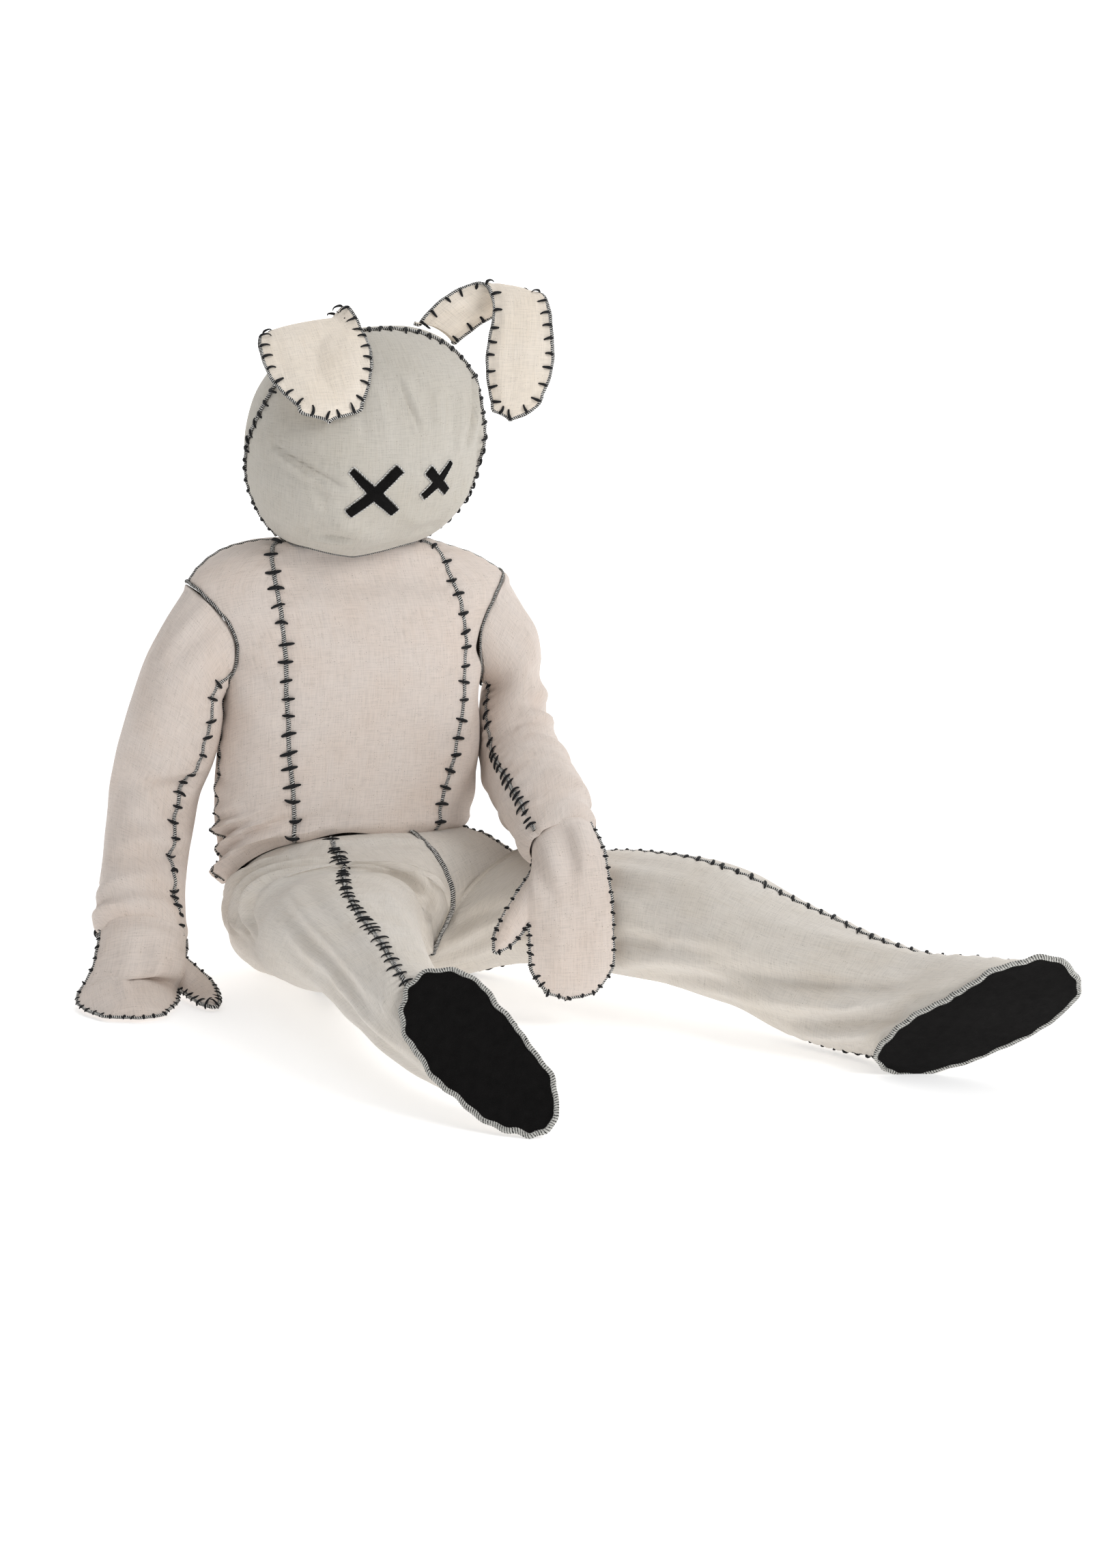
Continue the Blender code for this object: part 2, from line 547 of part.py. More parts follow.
def make_leg(rows, label, mat):
    a = table(rows)
    top = len(a) - 1
    point = lambda angle, v: leg_point(rows, angle, v)
    v = np.concatenate([[0, .5, 1, 1.5, 2, 2.5, 2.8, 3, 3.5], np.arange(4, top - .9), [top - .75, top - .5, top - .25, top]])
    front = lambda w: np.radians(along(a, w)[:, 11])
    under = lambda w: np.radians(along(a, w)[:, 12])
    panel(f"leg_{label}_outer", point, front, under, v, 7, top, ["left", "right"], mat, sole=rows, gap=LEG_GAP)
    # the inner panel: its front and back strips part at the crotch seam and share the inseam below it
    cols = 5
    fa, ba, _, _ = leg_span(rows, v)
    fa = np.where(v >= CROTCH, 0, fa)
    ba = np.where(v >= CROTCH, 2 * math.pi, ba)
    t = np.linspace(0, 1, cols)
    vv = np.broadcast_to(v[:, None], (len(v), cols))
    strips = []
    for lo, hi in ((fa, front(v)), (under(v), ba)):
        ang = lo[:, None] + (hi - lo)[:, None] * t[None]
        n = normals(point, ang, vv, top)
        strips.append((point(ang, vv), n, ang))
    sign = orient(point, strips[0][2], vv)
    k = int(np.argmin(np.abs(v - CROTCH)))
    joined = strips[0][1][k:, 0] + strips[1][1][k:, -1]
    joined /= np.linalg.norm(joined, axis=-1, keepdims=True)
    strips[0][1][k:, 0] = joined
    strips[1][1][k:, -1] = joined
    pts, off, faces = [], [], []
    for m, (p, n, _) in enumerate(strips):
        inner = p - sign * n * WALL
        seam = "right" if m == 0 else "left"
        rise = "left" if m == 0 else "right"
        q, inner = inset(p, [seam], LEG_GAP / 2), inset(inner, [seam], LEG_GAP / 2)
        q2, inner2 = inset(q, [rise], 0.0006), inset(inner, [rise], 0.0006)
        q[:k], inner[:k] = q2[:k], inner2[:k]
        pts.append(q.reshape(-1, 3))
        inner[-1] = in_sole_plane(rows, q[-1], inner[-1])
        off.append((inner - q).reshape(-1, 3))
        faces += grid_faces(len(v), cols, m * len(v) * cols)
    pts, off = np.concatenate(pts), np.concatenate(off)
    # one set of points along the inseam, from the crotch row down
    swap = {len(v) * cols + i * cols + cols - 1: i * cols for i in range(k, len(v))}
    faces = [tuple(swap.get(i, i) for i in f) for f in faces]
    used = sorted({i for f in faces for i in f})
    new = {o: i for i, o in enumerate(used)}
    wall(f"leg_{label}_inner", pts[used], [tuple(new[i] for i in f) for f in faces], off[used], mat)


def make_sole(rows, label, mat):
    """A flat felt disc just past the leg's last ring."""
    row = table(rows)[-1]
    t, s = row[3:6], row[6:9]
    n = np.cross(t, s)
    n /= np.linalg.norm(n)
    before = table(rows)[-2][:3]
    if np.dot(n, row[:3] - before) < 0:
        n = -n
    count = 28
    angle = np.linspace(0, 2 * math.pi, count, endpoint=False)
    rows_ = np.broadcast_to(row, (count, len(row)))
    edge = ring(rows_, angle) + foot_shape(rows_, angle, np.ones(count))
    base = row[:3] + (edge - row[:3]) * 1.06 + n * (GAP + 0.0020)
    pts = np.concatenate([base, (row[:3] + n * (GAP + 0.0020))[None]])
    faces = [(i, (i + 1) % count, count) for i in range(count)]
    wall(f"sole_{label}", pts, faces, np.broadcast_to(n * FELT, pts.shape), mat)


def lens(rows, cols, v, rise, power):
    """Middle surface between the two edges, its normals and the rise of a side."""
    a = along(table(rows), v)
    w = np.linspace(0, 1, cols)
    p = a[:, None, 0:3] * (1 - w)[None, :, None] + a[:, None, 3:6] * w[None, :, None]
    run = np.gradient(p, axis=0)
    across = np.broadcast_to((a[:, 3:6] - a[:, 0:3])[:, None], p.shape)
    n = np.cross(across, run)
    n /= np.linalg.norm(n, axis=-1, keepdims=True)
    h = rise(a)[:, None] * (np.clip(4 * w * (1 - w), 0, 1)[None] ** power(v)[:, None])
    return p, n, h


def make_mitt(spec, label, mat, back_side):
    rows = spec["hand"]
    top = len(rows) - 1
    v = np.unique(np.concatenate([[.07], np.arange(.5, top + .01, .5), [spec["thumb_from"], spec["thumb_to"]]]))
    cols = 6
    power = lambda w: 0.5 + 0.4 * np.clip(w / 2, 0, 1)
    i0, i1 = int(np.argmin(abs(v - spec["thumb_from"]))), int(np.argmin(abs(v - spec["thumb_to"])))
    for part, column, sign in (("back", 6, back_side), ("palm", 7, -back_side)):
        p, n, h = lens(rows, cols, v, lambda a: a[:, column], power)
        # the thumb: rows from the hand's edge to its tip
        base = p[i0:i1 + 1, -1 if spec["thumb_side"] else 0]
        count = len(base)
        r = np.linspace(0, 1, count)
        lift = spec["thumb_rise"] * np.sin(math.pi * r) * (1 if part == "back" else .3)
        w = np.linspace(0, 1, cols)
        reach = w if spec["thumb_side"] else 1 - w
        h[i0:i1 + 1] += lift[:, None] * (reach ** 2)[None]
        steps = [base]
        for row in spec["thumb"].values():
            fingers, wrist = np.array(row[0:3]), np.array(row[3:6])
            steps.append(wrist + (fingers - wrist) * r[:, None])
        thumb = along(np.array(steps).reshape(len(steps), -1), np.array([.5, 1, 1.5, 2])).reshape(4, count, 3)
        tn = np.broadcast_to(n[(i0 + i1) // 2, -1 if spec["thumb_side"] else 0], thumb.shape)
        th = lift[None] * np.array([1, .9, .6, .15])[:, None]
        pts = np.concatenate([p.reshape(-1, 3), thumb.reshape(-1, 3)])
        nor = np.concatenate([n.reshape(-1, 3), tn.reshape(-1, 3)])
        hh = np.concatenate([h.reshape(-1), th.reshape(-1)])
        faces = grid_faces(len(v), cols)
        edge = [(i0 + i) * cols + (cols - 1 if spec["thumb_side"] else 0) for i in range(count)]
        ids = [edge] + [[len(v) * cols + k * count + i for i in range(count)] for k in range(4)]
        for k in range(4):
            for i in range(count - 1):
                q = (ids[k][i], ids[k + 1][i], ids[k + 1][i + 1], ids[k][i + 1])
                faces.append(q if spec["thumb_side"] else tuple(reversed(q)))
        inner = pts + nor * sign * (hh + GAP / 2)[:, None]
        wall(f"mitt_{label}_{part}", inner, faces, nor * sign * WALL, mat)


def make_ear(rows, label, mat):
    top = len(rows) - 1
    v = np.arange(0, top + .01, .5)
    p, n, h = lens(rows, 5, v, lambda a: a[:, 6], lambda w: np.full(len(w), .7))
    h = h * np.clip((top - v) / 1.0, .1, 1)[:, None]
    p = off_head(p, 0.0055 + h)
    for part, sign in (("front", 1), ("back", -1)):
        q = p + n * sign * (h + GAP / 2)[..., None]
        wall(f"ear_{label}_{part}", q.reshape(-1, 3), grid_faces(len(v), 5), (n * sign * WALL).reshape(-1, 3), mat)


def head_axes():
    yaw, nod = math.radians(HEAD_YAW), math.radians(HEAD_NOD)
    face = np.array([math.sin(yaw) * math.cos(nod), -math.cos(yaw) * math.cos(nod), -math.sin(nod)])
    side = np.array([math.cos(yaw), math.sin(yaw), 0.0])
    return face, side, np.cross(side, -face)


def head_point(direction):
    """Point of the mask in a direction from its centre, and the outward normal there."""
    half = np.array(HEAD_HALF)
    d = direction / np.linalg.norm(direction, axis=-1, keepdims=True)
    k = (np.abs(d / half) ** 2.25).sum(-1, keepdims=True) ** (-1 / 2.25)
    p = d * k
    n = np.sign(p) * np.abs(p / half) ** 1.25 / half
    n /= np.linalg.norm(n, axis=-1, keepdims=True)
    axis, right, top = (np.array(a) for a in SLUMP_AXES)
    turn = np.degrees(np.arctan2(d @ top, d @ right)) % 360
    return p * (1 + round_table(SLUMP, turn, -1) * np.clip(1 - (d @ axis) ** 2, 0, 1))[..., None] + np.array(HEAD_CENTRE), n


def round_table(pairs, turn, add=0.0):
    """Smooth value of a table of (degrees, value) round a circle."""
    out = 0
    for step in (-9, -4.5, 0, 4.5, 9):
        out = out + np.interp((turn + step) % 360, [p[0] for p in pairs], [p[1] for p in pairs]) / 5
    return out + add


def make_head(mat):
    face, side, up = head_axes()
    around = 20
    for name, start, rings in (("head_face", 0, np.linspace(0, 1, 8)), ("head_back", 180, np.linspace(0, 1, 6))):
        dirs, faces = [face if start == 0 else -face], []
        for part_ in rings[1:]:
            for j in range(around):
                be = 2 * math.pi * j / around
                al = math.radians(start + (float(round_table(RIM, math.degrees(be))) - start) * part_)
                dirs.append(face * math.cos(al) + (side * math.cos(be) + up * math.sin(be)) * math.sin(al))
        for j in range(around):
            faces.append((0, 1 + j, 1 + (j + 1) % around))
        for k in range(len(rings) - 2):
            for j in range(around):
                a, b = 1 + k * around + j, 1 + k * around + (j + 1) % around
                faces.append((a, a + around, b + around, b))
        pts, nor = head_point(np.array(dirs))
        rim = slice(len(pts) - around, len(pts))
        pts[rim] += (face if start == 0 else -face) * GAP / 2
        pts, faces = clip(pts, faces, lambda p: p[..., 2] - MASK_RIM_Z - MASK_RIM_SLOPE * p[..., 1])
        _, nor = head_point(pts - np.array(HEAD_CENTRE))
        wall(name, pts, faces, -nor * WALL, mat)


def off_head(p, clear):
    """Moves points that are nearer to the mask than clear out to that distance."""
    d = p - np.array(HEAD_CENTRE)
    surface, n = head_point(d)
    r, rs = np.linalg.norm(d, axis=-1), np.linalg.norm(surface - np.array(HEAD_CENTRE), axis=-1)
    need = np.maximum(rs + clear - r, 0)
    return p + d / r[..., None] * need[..., None]


def make_eye(label, eye, mat):
    """Two crossed strokes of felt that follow the face, just above it."""
    face, side, up = head_axes()
    half, w = eye["stroke"] / 2, eye["wide"] / 2
    outline, arms = [], []
    for k in range(4):
        a = math.radians(45 + 90 * k)
        u, q = np.array([math.cos(a), math.sin(a)]), np.array([-math.sin(a), math.cos(a)])
        outline += [u * half - q * w, u * half + q * w, (u + q) * w]
    flat = np.array(outline + [(0, 0)])
    pts2 = flat + np.array([eye["side"], eye["up"]])
    dirs = face[None] * HEAD_HALF[1] + side * pts2[:, :1] + up * pts2[:, 1:]
    pts, nor = head_point(dirs)
    count = len(outline)
    faces = [(i, (i + 1) % count, count) for i in range(count)]
    base = pts + nor * 0.0022
    wall(f"eye_{label}", base, faces, nor * FELT, mat)


def make_tape(mat):
    """A narrow band on the trousers' waist, made from the ring's own points, moved out."""
    ring_points = []
    for angle in np.linspace(0, 2 * math.pi, 56, endpoint=False):
        row = table(LEG_NEAR)[0]
        p = ring(row[None], np.array([angle]))[0]
        p[2] -= row[10] * float(sag(angle))
        out = p - row[:3]
        out[2] = 0
        out /= np.linalg.norm(out)
        low = p + out * 0.0016 + np.array([0, 0, 0.002])
        ring_points.append((low, low + np.array([0, 0, TAPE_WIDTH]), out))
    count = len(ring_points)
    pts = np.array([r[0] for r in ring_points] + [r[1] for r in ring_points])
    off = np.array([r[2] for r in ring_points] * 2) * 0.0012
    faces = [(i, (i + 1) % count, count + (i + 1) % count, count + i) for i in range(count)]
    wall("waist_tape", pts, faces, off, mat)


def main():
    for o in list(bpy.data.objects):
        bpy.data.objects.remove(o)
    suit = material("muslin_pink_beige", (.72, .61, .53), .9)
    trousers = material("muslin_grey_cream", (.66, .63, .55), .9)
    mask = material("muslin_grey_beige", (.58, .55, .50), .9)
    cream = material("muslin_cream", (.87, .78, .65), .9)
    black = material("black_felt", (.006, .006, .006), .95)
    make_torso(suit)
    make_sleeve(-1, SLEEVE_NEAR, "near", suit)
    make_sleeve(1, SLEEVE_FAR, "far", suit)
    make_mitt(MITT_NEAR, "near", suit, -1)
    make_mitt(MITT_FAR, "far", suit, -1)
    make_leg(LEG_NEAR, "near", trousers)
    make_leg(LEG_FAR, "far", trousers)
    make_sole(LEG_NEAR, "near", black)
    make_sole(LEG_FAR, "far", black)
    make_tape(black)
    make_head(mask)
    make_eye("near", EYE_NEAR, black)
    make_eye("far", EYE_FAR, black)
    make_ear(EAR_NEAR, "near", cream)
    make_ear(EAR_FAR, "far", cream)


main()
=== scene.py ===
import math
import random

import bpy
import numpy as np
from mathutils import Matrix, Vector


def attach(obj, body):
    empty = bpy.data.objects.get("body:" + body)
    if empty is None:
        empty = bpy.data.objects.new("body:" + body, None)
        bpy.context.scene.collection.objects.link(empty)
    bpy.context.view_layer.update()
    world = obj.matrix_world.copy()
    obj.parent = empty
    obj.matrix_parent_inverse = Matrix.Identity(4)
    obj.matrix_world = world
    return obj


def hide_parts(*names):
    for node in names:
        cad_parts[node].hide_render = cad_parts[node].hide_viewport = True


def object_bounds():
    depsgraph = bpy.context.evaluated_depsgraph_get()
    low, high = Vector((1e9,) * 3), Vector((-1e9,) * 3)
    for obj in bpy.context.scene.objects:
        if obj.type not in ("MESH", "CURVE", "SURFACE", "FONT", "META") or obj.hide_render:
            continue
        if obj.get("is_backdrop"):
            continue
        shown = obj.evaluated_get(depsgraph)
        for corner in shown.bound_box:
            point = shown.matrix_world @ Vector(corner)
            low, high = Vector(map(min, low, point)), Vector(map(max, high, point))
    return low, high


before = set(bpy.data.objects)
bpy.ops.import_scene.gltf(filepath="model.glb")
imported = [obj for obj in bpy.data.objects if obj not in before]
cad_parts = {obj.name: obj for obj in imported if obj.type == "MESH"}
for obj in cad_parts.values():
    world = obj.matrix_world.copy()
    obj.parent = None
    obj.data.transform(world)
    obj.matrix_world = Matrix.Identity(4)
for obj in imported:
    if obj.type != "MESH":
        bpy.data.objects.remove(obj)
cad_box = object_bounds()

# Looks of a sewn rag-bunny costume: muslin panels with folds, overlocked seams in black and white thread,
# black yarn stitches, felt soles and crossed felt eyes. Metres, in the frame of the CAD model. The tables are the CAD
# model's own: heights in them are measured from the floor, and the origin is the neck, NECK_Z above it.
NECK_Z = 0.640
CLOTH = 0.0015           # thickness of a sheet of muslin
FELT = 0.0024
STEP = 0.0052            # distance between the points of a sheet
HEAD_CENTRE = (0.016, -0.036, 0.778)
HEAD_HALF = (0.170, 0.163, 0.168)
HEAD_YAW, HEAD_NOD = 4.0, 11.0
FACE_ANGLE = 100.0
MASK_RIM_Z, MASK_RIM_SLOPE = 0.654, 0.16
ARMHOLE = dict(y=0.006, z=0.508, half_depth=0.068, half_height=0.082)
ARMHOLE_EASE = 0.0018
SEAT_GAP = 0.0004

# ---------------------------------------------------------------- tables of the CAD model
# Torso: centre, half axis t (front), half axis s (+X), squareness, dip, and the x of the two princess seams.
TORSO = [
    (-.015, .000, .188, 0, -.128, .050, .184, 0, 0, 2.3, .035, -.115, .098),
    (-.012, .000, .258, 0, -.132, .028, .192, 0, 0, 2.4, .012, -.116, .114),
    (-.003, .000, .340, 0, -.125, .006, .195, 0, 0, 2.4, .000, -.119, .134),
    (.000, .000, .430, 0, -.118, .000, .194, 0, 0, 2.4, .000, -.120, .152),
    (.000, .000, .500, 0, -.110, .000, .208, 0, 0, 2.3, .000, -.120, .157),
    (.000, .002, .555, 0, -.097, .000, .236, 0, -.002, 2.2, .000, -.123, .150),
    (.000, .004, .589, 0, -.081, .000, .238, 0, -.005, 2.1, .000, -.125, .140),
    (.000, .006, .622, 0, -.075, .000, .196, 0, -.009, 2.0, .000, -.127, .130),
    (.000, .007, .640, 0, -.075, .000, .144, 0, -.007, 2.0, .000, -.117, .118),
    (.006, .007, .647, 0, -.075, .000, .100, 0, 0, 2.0, .000, -.080, .090),
]
# Sleeves: centre, t (outside), s (front), squareness, angles of the inner and outer seams.
SLEEVE_NEAR = [
    (-.195, .006, .508, -.030, 0, .082, 0, -.068, 0, 2.0, -34, 135),
    (-.243, -.002, .464, -.049, 0, .044, 0, -.073, 0, 2.0, -34, 138),
    (-.263, -.003, .400, -.067, 0, .012, 0, -.072, 0, 2.0, -36, 138),
    (-.276, .020, .335, -.069, 0, .008, 0, -.071, -.006, 2.0, -30, 136),
    (-.289, .044, .275, -.065, 0, .008, 0, -.068, .012, 2.1, -22, 132),
    (-.304, .030, .205, -.063, 0, .012, 0, -.060, .026, 2.1, -28, 126),
    (-.319, -.006, .138, -.063, 0, .014, 0, -.048, .036, 2.1, -38, 114),
    (-.331, -.053, .079, -.064, .006, .014, 0, -.031, .038, 2.1, -68, 106),
]
SLEEVE_FAR = [
    (.195, .006, .508, .030, 0, .082, 0, -.068, 0, 2.0, -70, 118),
    (.244, .002, .464, .038, 0, .044, 0, -.072, 0, 2.0, -84, 118),
    (.247, -.004, .410, .045, 0, .012, 0, -.068, .000, 2.0, -80, 116),
    (.246, -.024, .355, .055, 0, .006, 0, -.062, .026, 2.0, -66, 114),
    (.245, -.064, .306, .057, 0, .003, 0, -.040, .062, 2.1, -64, 112),
    (.234, -.160, .290, .063, 0, .003, 0, -.010, .064, 2.1, -58, 110),
    (.218, -.265, .278, .063, -.004, .010, -.008, -.008, .053, 2.1, -45, 108),
    (.204, -.371, .249, .045, -.012, .024, -.022, -.010, .033, 2.1, -24, 108),
]
# Legs: centre, t (front or top), s (crotch), squareness, dip, angles of the front and under seams.
LEG_NEAR = [
    (-.015, .000, .182, 0, -.122, .047, .176, 0, 0, 2.3, .035, 106, 246),
    (-.020, -.020, .140, 0, -.185, .075, .172, 0, 0, 2.4, .000, 107, 250),
    (-.050, -.085, .112, 0, -.155, .108, .152, 0, 0, 2.5, .000, 101, 256),
    (-.070, -.165, .114, 0, -.100, .107, .121, 0, 0, 2.4, .000, 97, 262),
    (-.082, -.270, .121, 0, -.038, .091, .112, 0, 0, 2.2, .000, 95, 266),
    (-.089, -.410, .127, 0, -.010, .073, .083, 0, 0, 2.1, .000, 102, 268),
    (-.091, -.560, .115, 0, .000, .066, .061, 0, 0, 2.1, .000, 104, 270),
    (-.080, -.685, .099, -.019, .028, .065, .053, -.003, .012, 2.1, .000, 98, 270),
    (-.036, -.790, .084, -.0517, .0923, .0694, .048, .0008, .0347, 2.2, .000, 104, 270),
]
LEG_FAR = [
    (-.015, .000, .182, 0, -.122, .047, -.176, 0, 0, 2.3, -.024, 160, 246),
    (.030, -.020, .140, 0, -.185, .075, -.165, 0, -.042, 2.4, .000, 150, 250),
    (.085, -.080, .112, .030, -.145, .108, -.140, 0, -.036, 2.4, .000, 138, 256),
    (.155, -.150, .112, .030, -.085, .109, -.082, -.038, -.010, 2.3, .000, 116, 262),
    (.225, -.240, .130, .010, -.030, .087, -.088, -.052, 0, 2.2, .000, 102, 266),
    (.305, -.350, .140, 0, 0, .088, -.077, -.048, 0, 2.1, .000, 100, 268),
    (.400, -.480, .137, 0, -.010, .094, -.071, -.047, 0, 2.1, .000, 89, 270),
    (.488, -.616, .097, .010, 0, .086, -.060, -.036, .008, 2.1, .000, 93, 270),
    (.556, -.730, .084, .032, -.020, .074, -.046, -.022, .016, 2.1, .000, 82, 270),
    (.618, -.838, .087, .0935, -.0655, .0700, -.0440, -.0120, .0430, 2.3, .000, 86, 270),
]
# Crotch seam: front y, z and back y, z; and the line over the floor that it stands on: y, x.
SEAT_SEAM = [(-.118, .227, .122, .135), (-.200, .207, .155, .078), (-.244, .150, .050, .003), (-.190, .060, -.190, .060)]
SEAT_LINE = [(-.300, .090), (-.244, .085), (-.200, .072), (-.118, .057), (.050, .043), (.122, .020), (.155, .014)]
# Mitts: edge a, edge b, rise of the back, rise of the palm.
MITT_NEAR = dict(
    hand=[
        (-.385, -.038, .102, -.265, -.050, .074, .044, .036),
        (-.404, -.080, .054, -.274, -.084, .042, .044, .026),
        (-.430, -.096, .014, -.288, -.104, .012, .040, .006),
        (-.433, -.142, .008, -.300, -.152, .008, .029, .003),
        (-.412, -.184, .006, -.322, -.192, .006, .017, .002),
        (-.386, -.206, .006, -.350, -.214, .006, .006, .001),
    ],
    thumb_side=1, thumb_from=0.7, thumb_to=2.0, thumb_rise=.014,
    thumb=[(-.278, -.138, .010, -.238, -.100, .018), (-.270, -.184, .007, -.240, -.184, .007)],
)
MITT_FAR = dict(
    hand=[
        (.174, -.350, .230, .248, -.374, .278, .034, .034),
        (.152, -.400, .208, .252, -.424, .240, .022, .014),
        (.144, -.420, .165, .252, -.450, .185, .015, .006),
        (.143, -.424, .125, .254, -.454, .128, .012, .004),
        (.147, -.424, .085, .252, -.453, .088, .009, .003),
        (.164, -.428, .058, .234, -.448, .059, .005, .002),
        (.184, -.434, .048, .206, -.440, .048, .003, .001),
    ],
    thumb_side=0, thumb_from=0.7, thumb_to=2.3, thumb_rise=.010,
    thumb=[(.131, -.416, .134, .113, -.408, .166), (.112, -.408, .110, .094, -.402, .122)],
)
# Ears: edge a, edge b, rise.
EAR_NEAR = [
    (-.096, -.010, .913, -.030, -.020, .945, .005),
    (-.124, -.050, .940, -.022, -.040, .972, .005),
    (-.146, -.092, .942, -.014, -.074, .980, .006),
    (-.152, -.128, .916, -.002, -.112, .938, .006),
    (-.142, -.160, .882, -.006, -.160, .892, .006),
    (-.114, -.186, .850, -.028, -.190, .852, .004),
    (-.088, -.192, .836, -.058, -.194, .836, .002),
]
EAR_FAR = [
    (.080, -.040, .932, .128, -.034, .906, .004),
    (.116, -.044, .976, .166, -.040, .940, .005),
    (.160, -.046, 1.006, .205, -.050, .966, .006),
    (.192, -.066, 1.012, .262, -.084, 1.000, .006),
    (.196, -.094, .975, .270, -.120, .972, .006),
    (.179, -.114, .905, .267, -.142, .905, .006),
    (.184, -.126, .848, .250, -.148, .858, .004),
    (.198, -.132, .830, .222, -.140, .830, .002),
]
CROTCH = 3               # the row of the legs' tables where each leg's ring closes
RIM = [(0, 64), (20, 63), (35, 69), (50, 75), (70, 81), (92, 89), (120, 87), (146, 85), (165, 91), (183, 103),
       (205, 99), (225, 92), (270, 90), (320, 78), (345, 68), (360, 64)]
SLUMP_AXES = ((-.3036, -.9342, .1874), (.9511, -.3090, 0), (.0579, .1782, .9823))
SLUMP = [(0, .985), (20, 1.07), (45, 1.14), (65, 1.11), (90, 1.055), (120, 1.025), (150, .985), (180, 1.005), (210, 1.015),
         (235, 1.0), (260, .965), (285, .89), (300, .875), (320, .89), (345, .935), (360, .985)]


# ---------------------------------------------------------------- surfaces
def along(a, v):
    """Smooth values of the rows of a at v, where row 0 is v = 0."""
    a = np.asarray(a, float)
    v = np.asarray(v, float)
    last = len(a) - 1
    i = np.clip(np.floor(v).astype(int), 0, last - 1)
    f = (v - i)[..., None]
    p1, p2 = a[i], a[i + 1]
    p0 = np.where((i > 0)[..., None], a[np.maximum(i - 1, 0)], 2 * a[0] - a[1])
    p3 = np.where((i < last - 1)[..., None], a[np.minimum(i + 2, last)], 2 * a[last] - a[last - 1])
    return 0.5 * (2 * p1 + (p2 - p0) * f + (2 * p0 - 5 * p1 + 4 * p2 - p3) * f**2 + (3 * p1 - p0 - 3 * p2 + p3) * f**3)


def unit(a):
    return a / np.maximum(np.linalg.norm(a, axis=-1, keepdims=True), 1e-12)


def ring(row, angle):
    c, t, s, n = row[..., 0:3], row[..., 3:6], row[..., 6:9], row[..., 9]
    cos, sin = np.cos(angle), np.sin(angle)
    r = (np.abs(cos) ** n + np.abs(sin) ** n) ** (-1 / n)
    return c + (r * cos)[..., None] * s + (r * sin)[..., None] * t


def angle_at(u, n):
    u = np.clip(u, -1, 1)
    return np.arctan2((1 - np.abs(u) ** n) ** (1 / n), u)


def torso_point(angle, v):
    row = along(TORSO, v)
    p = ring(row, angle)
    p[..., 2] -= row[..., 10] * sag(angle)
    return p


def sag(angle):
    cos = np.cos(angle)
    return cos ** 4 * np.where(cos < 0, 1.0, -0.66)


def torso_half_width(y, z, side):
    a = np.array(TORSO)
    z = z - side * np.interp(z, a[:, 2], a[:, 8])
    v = np.interp(z, a[:, 2], np.arange(len(a)))
    for _ in range(3):
        slope = np.maximum(along(a, np.minimum(v + .01, len(a) - 1))[..., 2] - along(a, v)[..., 2], 1e-5) / .01
        v = np.clip(v - (along(a, v)[..., 2] - z) / slope, 0, len(a) - 1)
    row = along(a, v)
    u = np.clip(np.abs(y - row[..., 1]) / -row[..., 4], 0, 1)
    return side * row[..., 0] + row[..., 6] * (1 - u ** row[..., 9]) ** (1 / row[..., 9])


def armhole_value(p):
    y = (p[..., 1] - ARMHOLE["y"]) / ARMHOLE["half_depth"]
    z = (p[..., 2] - ARMHOLE["z"]) / ARMHOLE["half_height"]
    d = (np.sqrt(y * y + z * z) - 1) * ARMHOLE["half_depth"]
    return np.where(np.abs(p[..., 0]) < 0.13, 1.0, d)


def sleeve_surface(rows, side):
    def point(angle, v):
        angle, v = np.broadcast_arrays(np.asarray(angle, float), np.asarray(v, float))
        p = ring(along(rows, v), angle)
        y = ARMHOLE["y"] - (ARMHOLE["half_depth"] - ARMHOLE_EASE) * np.cos(angle)
        z = ARMHOLE["z"] + (ARMHOLE["half_height"] - ARMHOLE_EASE) * np.sin(angle)
        hole = np.stack([side * torso_half_width(y, z, side), y, z], -1)
        b = np.clip(v, 0, 1)[..., None]
        b = b * b * (3 - 2 * b)
        p = hole * (1 - b) + p * b
        clear = 0.004 * np.clip(v / 0.5, 0, 1)
        out = torso_half_width(p[..., 1], p[..., 2], side) + clear
        p[..., 0] = side * np.maximum(side * p[..., 0], out)
        return p
    return point


def seat_line(y):
    a = np.array(SEAT_LINE)
    return np.interp(y, a[:, 0], a[:, 1])


